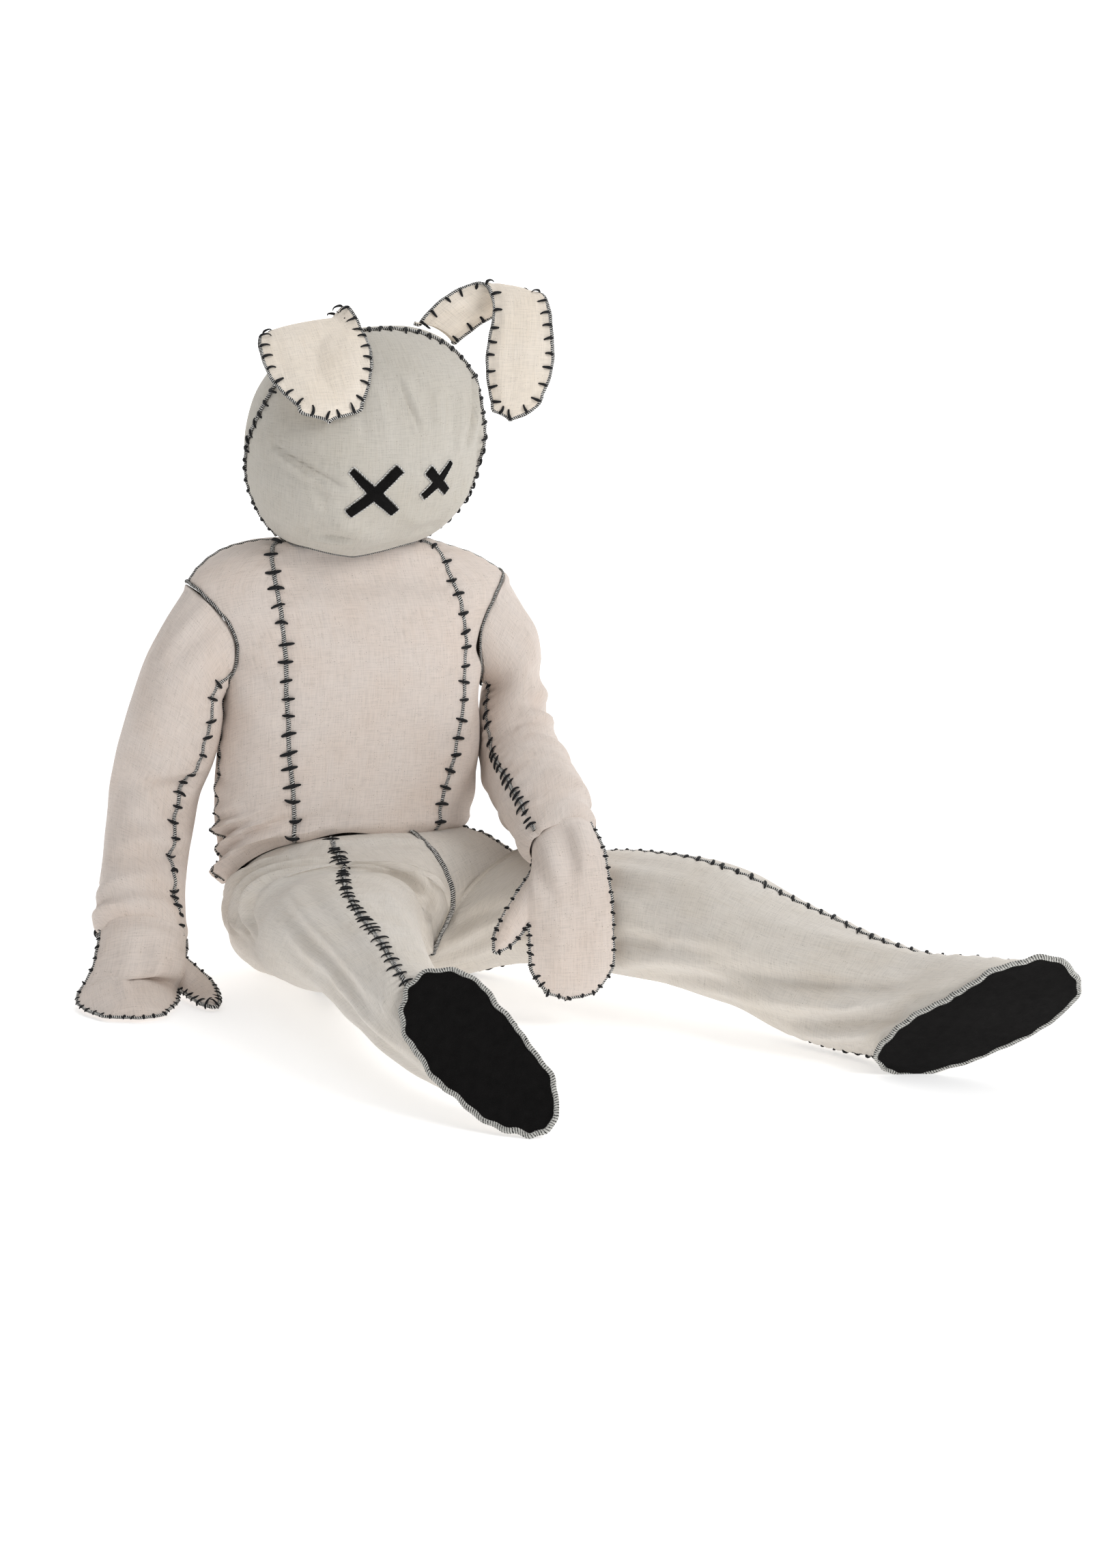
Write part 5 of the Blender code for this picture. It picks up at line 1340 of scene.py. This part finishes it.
def ear(label, rows, folds):
    rows = np.array(rows)
    top = len(rows) - 1
    span = np.linalg.norm(np.diff(rows[:, 0:3], axis=0), axis=-1).sum()
    size = np.linalg.norm(rows[4, 3:6] - rows[4, 0:3])
    n_v, cols = int(span / .0036) + 2, int(size / .0036) + 2
    v = np.linspace(0, top, n_v)
    w = np.linspace(0, 1, cols)
    p, n, h = lens(rows, v, w, lambda a: a[:, 6], lambda q: np.full(len(q), .7))
    run = unit(p[-1] - p[-4])
    bulge = np.clip((v - (top - 1.3)) / 1.3, 0, 1) ** 2
    arc = np.clip(4 * w * (1 - w), 0, 1)
    p = p + run[None] * (.007 * bulge[:, None] * arc[None])[..., None]
    # the tip is a round end: its last rows keep their width until near the end
    middle = p.mean(1, keepdims=True)
    past = np.clip((v - (top - 1.0)) / 1.0, 0, 1)
    have = np.linalg.norm(p[:, -1] - p[:, 0], axis=-1)
    start = np.interp(top - 1.0, v, have)
    want = start * np.sqrt(np.clip(1 - (past * .90) ** 2.2, .04, 1))
    p = np.where((past > 0)[:, None, None], middle + (p - middle) * np.clip(want / have, 1, 1.9)[:, None, None], p)
    if label == "near":
        fold = np.exp(-((v - 1.6) / 1.1) ** 2)[:, None] * (np.clip(w / .84, 0, 1) * np.clip((1 - w) / .12, 0, 1))[None]
        p[..., 2] -= .015 * fold
    h = h * np.clip((top - v) / .8, 0, 1)[:, None] ** .6
    p = off_head(p, .0055 + h)
    flat_pts = p.reshape(-1, 3)
    outline = [i * cols for i in range(n_v)] + [(n_v - 1) * cols + j for j in range(1, cols - 1)] + [i * cols + cols - 1 for i in reversed(range(n_v))]
    edge = np.full(len(flat_pts), 1e9)
    for x in flat_pts[outline][::2]:
        edge = np.minimum(edge, np.linalg.norm(flat_pts - x, axis=-1))
    add = unevenness(flat_pts, .0012)
    for u0, r0, u1, r1, width, height in folds:
        t = np.linspace(0, 1, 10)
        a_ = along(rows, r0 + (r1 - r0) * t)
        uu = (u0 + (u1 - u0) * t)[:, None]
        d, place = to_line(flat_pts, a_[:, 0:3] * (1 - uu) + a_[:, 3:6] * uu)
        add = add + height * fold_profile(d / width) * np.sqrt(np.clip(np.sin(PI * np.clip(place, .001, .999)), 0, 1))
    a_row = along(rows, v)
    u_m = (w[None] - .5) * np.linalg.norm(a_row[:, 3:6] - a_row[:, 0:3], axis=-1)[:, None]
    y_m = np.concatenate([[0], np.cumsum(np.linalg.norm(np.diff(p[:, cols // 2], axis=0), axis=-1))])[:, None] + 0 * u_m
    uv = np.stack([u_m, y_m], -1).reshape(-1, 2)
    faces = grid_faces(n_v, cols).tolist()
    # a sewn groove runs inside the edge
    groove = -.0012 * np.exp(-((edge - .0085) / .0028) ** 2)
    for part, sign in (("front", 1), ("back", -1)):
        nor = n.reshape(-1, 3) * sign
        thick = np.maximum(h.reshape(-1) + add * sign * .8 + groove, 0) * np.clip(edge / .005, 0, 1)
        outer = flat_pts + nor * (thick + .0008 + CLOTH * .5)[:, None]
        area = area_of(flat_pts, faces)
        flat = (round(float(np.ptp(uv[:, 0])) + .002, 3), round(float(np.ptp(uv[:, 1])) + .002, 3))
        sheet(f"cloth_ear_{label}_{part}", f"ear_{label}_{part}", outer, faces, uv, CREAM, flat, area, toward=nor)
    return flat_pts[outline], n.reshape(-1, 3)[outline], n_v, cols - 2


EAR_NEAR_FOLDS = [(.0, 2.2, 1.0, 2.3, .012, .0030), (.15, 2.4, .12, 5.2, .010, .0020), (.85, 2.6, .80, 4.8, .010, -.0018)]
EAR_FAR_FOLDS = [(.10, 1.2, .90, 2.2, .010, .0040), (.30, .6, .55, 2.2, .008, -.0036), (.0, 3.1, 1.0, 3.2, .012, .0030), (.20, 3.4, .16, 6.4, .010, -.0016)]
ear_near_rim = ear("near", EAR_NEAR, EAR_NEAR_FOLDS)
ear_far_rim = ear("far", EAR_FAR, EAR_FAR_FOLDS)

# ---------------------------------------------------------------- mask
face, side_way, up_way = head_axes()
# Folds on the mask: from side, up; to side, up (metres on the face, seen from its front); width; height.
MASK_FOLDS = [
    # darts: a thin groove with a soft ridge beside it
    (.000, .128, .030, .062, .0034, -.0046), (.006, .128, .036, .062, .0075, .0038),
    (.118, .112, .110, .030, .0034, -.0046), (.124, .110, .117, .030, .0075, .0040),
    (-.160, .030, -.070, -.016, .0036, -.0050), (-.160, .022, -.070, -.026, .0085, .0046),
    (-.100, -.092, -.048, -.096, .0036, -.0048), (-.100, -.100, -.050, -.105, .0080, .0042),
    # faint gathers under the rim seam, and soft creases near the eyes
    (.050, .120, .062, .040, .0070, .0026), (.072, .118, .084, .030, .0070, -.0026), (.092, .112, .098, .020, .0070, .0028),
    (-.030, .125, -.016, .050, .0080, .0024), (-.055, .118, -.048, .050, .0080, -.0022),
    (.130, .050, .152, -.010, .0100, -.0030), (.142, .060, .160, .000, .0120, .0036), (.128, -.020, .084, -.096, .0130, .0052), (-.090, -.060, -.010, -.110, .0160, .0046),
    (-.088, .020, -.060, -.030, .0100, .0030), (-.110, .000, -.092, -.060, .0080, -.0026), (.010, -.060, .060, -.080, .0100, .0026),
    (-.010, .018, .030, .004, .0060, .0012), (-.060, -.040, -.080, -.070, .0080, .0014),
    (.030, -.105, .090, -.085, .0100, -.0034), (-.052, -.128, .036, -.126, .0090, -.0040),
]


def on_face(x, y):
    x, y = np.asarray(x, float), np.asarray(y, float)
    depth = np.sqrt(np.clip(1 - (x / .175) ** 2 - (y / .172) ** 2, .02, 1)) * HEAD_HALF[1]
    d = face * depth[..., None] + side_way * x[..., None] + up_way * y[..., None]
    return head_point(d)


mask_lines = []
for x0, y0, x1, y1, width, height in MASK_FOLDS:
    t = np.linspace(0, 1, 12)
    line, _ = on_face(x0 + (x1 - x0) * t, y0 + (y1 - y0) * t)
    mask_lines.append((line, width, height))


def mask_rim_line(count=400):
    """Points of the seam between the two panels, from one side of the neck over the top to the other."""
    be = np.linspace(-PI / 2, 1.5 * PI, count)
    al = np.radians(round_table(RIM, np.degrees(be) % 360))[:, None]
    d = face * np.cos(al) + (side_way * np.cos(be)[:, None] + up_way * np.sin(be)[:, None]) * np.sin(al)
    p, n = head_point(d)
    keep = p[:, 2] > MASK_RIM_Z + MASK_RIM_SLOPE * p[:, 1] + .001
    return p[keep], n[keep], be[keep]


rim_p, rim_n, _ = mask_rim_line()


HANG = ((0, 205, 238, 262, 290, 315, 360), (0, 0, .0150, .0095, .0040, 0, 0))


def mask_at(dirs):
    p, n = head_point(dirs)
    h = unevenness(p, .0020)
    for line, width, height in mask_lines:
        d, t = to_line(p, line)
        h += height * fold_profile(d / width) * np.sqrt(np.clip(np.sin(PI * np.clip(t, .001, .999)), 0, 1))
    d, t = to_line(p, rim_p[::4])
    total = np.linalg.norm(np.diff(rim_p, axis=0), axis=-1).sum()
    h -= .0026 * np.exp(-(d / .008) ** 2)
    h += .0011 * np.sin(2 * PI * t * total / .0175) * np.exp(-((d - .010) / .009) ** 2)
    return p + n * h[..., None], n


def mask_value(p):
    """Height over the mask's lower edge, which hangs in flat lengths with a corner at the near cheek."""
    turn = np.degrees(np.arctan2(p[..., 1] - HEAD_CENTRE[1], p[..., 0] - HEAD_CENTRE[0])) % 360
    return p[..., 2] - MASK_RIM_Z - MASK_RIM_SLOPE * p[..., 1] + np.interp(turn, HANG[0], HANG[1])


def mask_panel(name, node, a0, step=.0052):
    rings_ = int(math.radians(100) * .168 / step) + 2
    around = int(2 * PI * .165 / step)
    be = 2 * PI * np.arange(around) / around
    edge = round_table(RIM, np.degrees(be))
    al = np.radians(a0 + (edge - a0)[None] * np.linspace(0, 1, rings_)[1:, None])
    d = face * np.cos(al)[..., None] + (side_way * np.cos(be)[:, None] + up_way * np.sin(be)[:, None])[None] * np.sin(al)[..., None]
    pole = face if a0 == 0 else -face
    dirs = np.concatenate([pole[None], d.reshape(-1, 3)])
    p, n = mask_at(dirs)
    faces = [(0, 1 + j, 1 + (j + 1) % around) for j in range(around)]
    for k in range(len(al) - 1):
        i = np.arange(around)
        j = (i + 1) % around
        faces += [tuple(f) for f in np.stack([1 + k * around + i, 1 + (k + 1) * around + i, 1 + (k + 1) * around + j, 1 + k * around + j], -1).tolist()]
    c = p - np.array(HEAD_CENTRE)
    spread = np.concatenate([[0], (al if a0 == 0 else PI - al).reshape(-1)])
    ang = np.concatenate([[0], np.tile(be, len(al))])
    uv = np.stack([spread * .166 * np.cos(ang), spread * .166 * np.sin(ang)], -1)
    base, _ = head_point(dirs)
    q, faces, carry = clip(p, faces, mask_value, np.concatenate([uv, n, base], 1))
    uv, n, base = carry[:, :2], carry[:, 2:5], carry[:, 5:8]
    area = area_of(base, faces)
    # the lower edge turns in
    low = mask_value(q)
    q = q - n * (.0030 * np.exp(-np.maximum(low, 0) / .006))[:, None]
    wide = round(float(np.ptp(uv[:, 0])) + .004, 3), round(float(np.ptp(uv[:, 1])) + .004, 3)
    sheet(name, node, q, faces, uv, MASK, wide, min(area, wide[0] * wide[1]), toward=n, thick=.0016)


mask_panel("cloth_head_face", "head_face", 0)
mask_panel("cloth_head_back", "head_back", 180)


# ---------------------------------------------------------------- eyes
# Each stroke of a cross, in the face's own plane: from side, up; to side, up; width at the two ends.
EYE_NEAR = dict(at=(-.037, -.022), strokes=[(-.037, .034, .035, -.034, .009, .0150), (.036, .036, -.040, -.036, .0150, .0150)])
EYE_FAR = dict(at=(.067, -.010), strokes=[(-.022, .020, .022, -.020, .0150, .0125), (.024, .030, -.026, -.022, .007, .0105)])


def cross_outline(strokes):
    """The outer line of two crossed strokes, in order round the middle."""
    rays = []
    for x0, y0, x1, y1, w0, w1 in strokes:
        rays += [(math.atan2(y0, x0), math.hypot(x0, y0), w0), (math.atan2(y1, x1), math.hypot(x1, y1), w1)]
    rays.sort()
    out = []
    for k, (a, length, w) in enumerate(rays):
        b, _, w2 = rays[(k + 1) % 4]
        u = np.array([math.cos(a), math.sin(a)])
        q = np.array([-math.sin(a), math.cos(a)])
        out += [(u * length - q * w / 2), (u * length + q * w / 2)]
        gap = (b - a) % (2 * PI)
        m = a + gap / 2
        out.append(np.array([math.cos(m), math.sin(m)]) * ((.5 * (w + w2) / 2 + .0012) / math.sin(gap / 2)))
    return np.array(out)


def eye(label, spec, threads):
    corners = cross_outline(spec["strokes"])
    fine = []
    for a, b in zip(corners, np.roll(corners, -1, axis=0)):
        count = max(int(np.linalg.norm(b - a) / .0022), 2)
        for t in np.arange(count) / count:
            fine.append(a + (b - a) * t)
    fine = np.array(fine)
    fine = fine + RNG.normal(0, .00022, fine.shape)
    count = len(fine)
    rings_ = [0, .25, .5, .7, .85, .95, 1.0]
    pts2 = np.concatenate([[[0, 0]]] + [fine * r for r in rings_[1:]])
    height = np.concatenate([[FELT]] + [np.full(count, FELT if r < .99 else FELT * .72) for r in rings_[1:]])
    at = np.array(spec["at"])

    def place(q):
        d = face * HEAD_HALF[1] + side_way * (q[:, :1] + at[0]) + up_way * (q[:, 1:] + at[1])
        return mask_at(d)

    p, n = place(pts2)
    outer = p + n * (height + .0010)[:, None]
    faces = [(0, 1 + i, 1 + (i + 1) % count) for i in range(count)]
    for k in range(len(rings_) - 2):
        for i in range(count):
            j = (i + 1) % count
            faces.append((1 + k * count + i, 1 + (k + 1) * count + i, 1 + (k + 1) * count + j, 1 + k * count + j))
    faces = [tuple(reversed(f)) for f in faces]
    size = (round(float(np.ptp(pts2[:, 0])) + .004, 3), round(float(np.ptp(pts2[:, 1])) + .004, 3))
    area = area_of(outer, faces)
    sheet(f"felt_eye_{label}", f"eye_{label}", outer, faces, pts2, BLACK, size, max(area, .301 * size[0] * size[1]), toward=n, thick=FELT)
    # the sewn line round the felt, on the cloth beside it
    away = unit(np.roll(fine, -1, 0) - np.roll(fine, 1, 0))
    away = np.stack([away[:, 1], -away[:, 0]], -1)
    if np.sum(away * fine) < 0:
        away = -away
    q, qn = place(fine + away * .0016)
    overlock(threads, q, qn, width=.0021, height=.0018, lift=.0010, closed=True, wander=.0003, pitch=.0040, around=6)


# ---------------------------------------------------------------- seams, stitches and edges
ropes, dark_ropes, pale_ropes, outline_rope, stitches = Threads(), Threads(), Threads(), Threads(), Threads()
eye("near", EYE_NEAR, outline_rope)
eye("far", EYE_FAR, outline_rope)


def seam_line(surf, angle, v0, v1, count=260, shape=None):
    v = np.linspace(v0, v1, count)
    a = angle(v)
    p, n = surf.at(a, v)
    if shape:
        p = shape(p, n, a, v)
    return p, n


# princess seams
for angle in (princess_near, princess_far):
    line, nor = seam_line(torso, angle, .03, 8.97, shape=torso_shape)
    overlock(ropes, line, nor, width=.0064)
    stitch_row(stitches, line, nor, .0262, length=.0238, width=.0054, turn=4, jitter=.10, lift=.0038)
# side seams and shoulder seams
hole_low, hole_high = ARMHOLE["z"] - ARMHOLE["half_height"], ARMHOLE["z"] + ARMHOLE["half_height"]
for angle in (PI, 2 * PI):
    v = np.linspace(.03, 8.97, 700)
    p, n = torso.at(np.full(700, angle), v)
    p = torso_shape(p, n, v * 0 + angle, v)
    low, high = p[:, 2] < hole_low - .002, p[:, 2] > hole_high + .001
    overlock(ropes, p[low], n[low], width=.0066)
    stitch_row(stitches, p[low], n[low], .028, jitter=.16)
    overlock(ropes, p[high], n[high], width=.0066)
# armholes
for side in (-1, 1):
    th = np.linspace(0, 2 * PI, 300, endpoint=False)
    y = ARMHOLE["y"] - (ARMHOLE["half_depth"] + .0006) * np.cos(th)
    z = ARMHOLE["z"] + (ARMHOLE["half_height"] + .0006) * np.sin(th)
    x = side * torso_half_width(y, z, side)
    line = np.stack([x, y, z], -1)
    nor = unit(np.stack([np.full(300, side * 1.0), (y - ARMHOLE["y"]) * 7, (z - ARMHOLE["z"]) * 7], -1))
    overlock(dark_ropes, line, nor, width=.0050, height=.0034, lift=.0012, closed=True, wander=.0007)


# sleeves: even stitches that crowd near the end, where the cloth is bunched
def crowd(even, dense, where):
    return lambda t: even if t < where else dense


for surf, inner, outer, turn in ((sleeve_near, near_in, near_out, -6), (sleeve_far, far_in, far_out, 14)):
    line, nor = seam_line(surf, inner, .25, 6.97)
    wob = .0012 if surf is sleeve_near else .0006
    overlock(ropes, line, nor, width=.0062, wander=wob)
    stitch_row(stitches, line, nor, crowd(.027, .0150, .72 if surf is sleeve_far else .80), length=.0205, width=.0046, turn=turn, jitter=.16, start=.030 if surf is sleeve_near else None)
    line, nor = seam_line(surf, outer, .25, 6.97)
    overlock(ropes, line, nor, width=.0062, wander=wob)
    stitch_row(stitches, line, nor, .026, length=.018, width=.0042, turn=8, jitter=.18)
# mitt rims: rope and short stitches over the edge
for (line, nor, na, nt), flip in ((mitt_near_rim, 1), (mitt_far_rim, 1)):
    overlock(ropes, line, nor, width=.0058, height=.0046, lift=.0002, wander=.0008)
    middle = line.mean(0)
    p, n, run, s = resample(line, nor, .002)
    inward = np.sign(np.sum(np.cross(run, n) * (middle - p)))
    stitch_row(stitches, line, nor, .0165, length=.0160, width=.0046, one_side=inward, jitter=.16, shift=-.0030)
# legs
line, nor = seam_line(leg_near, near_front, .06, 7.93)
overlock(ropes, line, nor, width=.0066)
stitch_row(stitches, line, nor, lambda t: .024 if t < .05 else .0098 if t < .30 else .0150 if t < .62 else .0175, length=.0225, width=.0036, turn=-10, jitter=.14, bow=.0030)
line, nor = seam_line(leg_far, far_front, .06, 8.93)
overlock(ropes, line, nor, width=.0062)
stitch_row(stitches, line, nor, .0225, length=.0205, width=.0046, turn=30, jitter=.10)
for surf, under, top in ((leg_near, near_under, 8), (leg_far, far_under, 9)):
    line, nor = seam_line(surf, under, .10, top - .06)
    line[:, 2] = np.maximum(line[:, 2], .0018)
    overlock(dark_ropes, line, nor, width=.0060, wander=.0008)
    stitch_row(stitches, line, nor, .021, length=.018, width=.0044, turn=-8, jitter=.18)


# crotch seam, from the front of the waist under the seat to its back
def crotch_line(column):
    v = np.linspace(0.03, CROTCH, 120)
    q = np.array(SEAT_SEAM)
    yz = along(q, v)[:, [column, column + 1]]
    x = seat_line(yz[:, 0])
    return np.stack([x, yz[:, 0], yz[:, 1]], -1)


front_half, back_half = crotch_line(0), crotch_line(2)
centre = np.array([.06, -.02, .12])
for half in (front_half, back_half):
    out = half - centre
    run = np.gradient(half, axis=0)
    nor = unit(out - np.sum(out * unit(run), -1, keepdims=True) * unit(run))
    nor[:, 0] *= .25
    half = half + unit(nor) * .0015
    half[:, 2] = np.maximum(half[:, 2], .0020)
    overlock(ropes, half, unit(nor), width=.0074, height=.0040, wander=.0007)
# soles: a wide pale rope
for edge, n, angle in (sole_near, sole_far):
    wavy = 1 + .010 * np.sin(angle * 15 + 1.2 * np.sin(angle * 3))
    c = edge.mean(0)
    line = c + (edge - c) * wavy[:, None] + n * (GAP_OUT + FELT * .35)
    out = unit(edge - c)
    nor = unit(n * .85 + out * .5)
    overlock(pale_ropes, line, nor, width=.0074, height=.0054, lift=.0002, closed=True, wander=.0014, pitch=.0034, around=10)
# mask: the seam between its panels, with stitches towards the face, and the thin black edge below
d0 = rim_p
mask_line, mask_nor = mask_at(unit(rim_p - np.array(HEAD_CENTRE)))
overlock(ropes, mask_line, mask_nor, width=.0070, height=.0052, lift=.0020)
p, n, run, s = resample(mask_line, mask_nor, .002)
inward = float(np.sign(np.sum(np.cross(run, n) * face)))
stitch_row(stitches, mask_line, mask_nor, .0172, length=.0225, width=.0064, one_side=inward, jitter=.12, lift=.0060, shift=-.0040)
low_line = []
for be in np.linspace(0, 2 * PI, 220, endpoint=False):
    lo, hi = math.radians(20), math.radians(175)
    way = np.array([math.cos(be), math.sin(be), 0])
    for _ in range(26):
        mid = .5 * (lo + hi)
        q, _ = head_point(way * math.sin(mid) + np.array([0, 0, math.cos(mid)]))
        lo, hi = (mid, hi) if mask_value(q) > 0 else (lo, mid)
    q, qn = mask_at((way * math.sin(lo) + np.array([0, 0, math.cos(lo)]))[None])
    low_line.append((q[0] - qn[0] * .0022, qn[0]))
overlock(dark_ropes, [x[0] for x in low_line], [x[1] for x in low_line], width=.0030, height=.0026, lift=0, closed=True, wander=.0002)
# ears: rope on the outline, stitches inward on both sides
for (line, nor, na, nt), pitch in ((ear_near_rim, .0225), (ear_far_rim, .0232)):
    overlock(ropes, line, nor, width=.0062, height=.0046, lift=0)
    p, n, run, s = resample(line, nor, .002)
    middle = line.mean(0)
    ins = float(np.sign(np.sum(np.cross(run, n) * (middle - p))))
    stitch_row(stitches, line + nor * .0024, nor, pitch, length=.0155, width=.0050, one_side=ins, jitter=.10, lift=.0034)
    stitch_row(stitches, line - nor * .0024, -nor, pitch, length=.0155, width=.0050, one_side=-ins, jitter=.10, lift=.0034)
# waist: the black serged seam that shows under the bloused suit
a = np.array(LEG_NEAR)[0]
th = np.linspace(0, 2 * PI, 420, endpoint=False)
p = ring(np.broadcast_to(a, (420, len(a))), th)
p[:, 2] -= a[10] * sag(th)
out = p - a[:3]
out[:, 2] = 0
out = unit(out)
waist = Threads()
for z, o, wide in ((.0046, .0008, .0056),):
    overlock(waist, p + out * o + np.array([0, 0, z]), out, width=wide, height=.0034, lift=0, closed=True, wander=.0007)
near = (th > math.radians(60)) & (th < math.radians(200))

ropes.make("overlock_seams", SERGED, "black_thread")
dark_ropes.make("overlock_dark", SERGED_DARK, "black_thread")
pale_ropes.make("overlock_soles", SERGED_PALE, "black_thread")
outline_rope.make("eye_outlines", OUTLINE, "black_thread")
stitches.make("yarn_stitches", YARN, "black_thread")
waist.make("waist_seam", YARN, "black_thread", "waist_tape")


# ---------------------------------------------------------------- floor, light and camera
def stage():
    white = Nodes("Stage_white")
    white.b.inputs["Base Color"].default_value = (.93, .93, .93, 1)
    white.b.inputs["Roughness"].default_value = .9
    white.b.inputs["Specular IOR Level"].default_value = .1
    white.b.inputs["Emission Color"].default_value = (1, 1, 1, 1)
    white.b.inputs["Emission Strength"].default_value = .42
    mesh = bpy.data.meshes.new("Floor")
    z = -NECK_Z - .0012
    mesh.from_pydata([(-14, -14, z), (14, -14, z), (14, 14, z), (-14, 14, z)], [], [(0, 1, 2, 3)])
    mesh.materials.append(white.mat)
    floor = bpy.data.objects.new("Floor", mesh)
    bpy.context.scene.collection.objects.link(floor)
    floor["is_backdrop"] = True
    # an evenly lit white wall behind
    lit = Nodes("Stage_wall")
    lit.b.inputs["Base Color"].default_value = (.9, .9, .9, 1)
    lit.b.inputs["Roughness"].default_value = 1
    lit.b.inputs["Specular IOR Level"].default_value = 0
    lit.b.inputs["Emission Color"].default_value = (1, 1, 1, 1)
    lit.b.inputs["Emission Strength"].default_value = .80
    mesh = bpy.data.meshes.new("Wall")
    a = math.radians(-18)
    right, ahead = np.array([math.cos(a), math.sin(a), 0]), np.array([-math.sin(a), math.cos(a), 0])
    c = ahead * 7
    mesh.from_pydata([tuple(c - right * 14 + [0, 0, z]), tuple(c + right * 14 + [0, 0, z]), tuple(c + right * 14 + [0, 0, 12]), tuple(c - right * 14 + [0, 0, 12])], [], [(0, 1, 2, 3)])
    mesh.materials.append(lit.mat)
    wall = bpy.data.objects.new("Wall", mesh)
    bpy.context.scene.collection.objects.link(wall)
    wall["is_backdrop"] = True

    world = bpy.data.worlds.new("Studio")
    bpy.context.scene.world = world
    world.use_nodes = True
    back = world.node_tree.nodes["Background"]
    back.inputs[0].default_value = (1.0, 1.0, 1.0, 1)
    back.inputs[1].default_value = WORLD_LIGHT

    for name, place, size, power in LIGHTS:
        lamp = bpy.data.lights.new(name, "AREA")
        lamp.shape = "RECTANGLE"
        lamp.size, lamp.size_y = size
        lamp.energy = power
        obj = bpy.data.objects.new(name, lamp)
        bpy.context.scene.collection.objects.link(obj)
        at = np.array(place) - [0, 0, NECK_Z]
        aim = np.array([.10, -.30, .40]) - [0, 0, NECK_Z]
        back_way = unit(at - aim)
        right = unit(np.cross([0, 0, 1], back_way))
        up = np.cross(back_way, right)
        obj.matrix_world = Matrix([[*right, 0], [*up, 0], [*back_way, 0], [0, 0, 0, 1]]).transposed()
        obj.location = at
        obj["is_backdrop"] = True

    az, el = math.radians(-18.0), math.radians(10.8)
    right = np.array([math.cos(az), math.sin(az), 0])
    ahead = np.array([-math.sin(az), math.cos(az), 0])
    look = ahead * math.cos(el) - np.array([0, 0, 1]) * math.sin(el)
    up = ahead * math.sin(el) + np.array([0, 0, 1]) * math.cos(el)
    at = -ahead * 4.2 + right * .293 + np.array([0, 0, 1.08 - NECK_Z])
    cam = bpy.data.cameras.new("Camera")
    cam.lens = 4200 / 2296 * 36
    cam.sensor_width = 36
    cam.clip_end = 60
    obj = bpy.data.objects.new("Camera", cam)
    bpy.context.scene.collection.objects.link(obj)
    m = Matrix([[*right, 0], [*up, 0], [*(-look), 0], [0, 0, 0, 1]]).transposed()
    m.translation = at
    obj.matrix_world = m
    bpy.context.scene.camera = obj
    bpy.context.scene.view_settings.view_transform = "Standard"
    bpy.context.scene.view_settings.look = "None"
    bpy.context.scene.view_settings.exposure = 0
    bpy.context.scene.view_settings.gamma = 1


WORLD_LIGHT = 0.355
# name, place over the floor, size, power
LIGHTS = [
    ("Key", (2.3, -3.6, 2.9), (1.8, 1.8), 86),
    ("Fill", (-3.2, -3.0, 2.0), (2.6, 2.6), 5),
    ("Top", (.3, .2, 4.0), (3.0, 3.0), 26),
]
stage()
for name, flat, area in SHEETS:
    print("CUT", name, flat, round(float(area), 4))
lo_hi = lambda b: [[float(x) for x in c] for c in b]
{"cad": lo_hi(cad_box), "visual": lo_hi(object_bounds())}
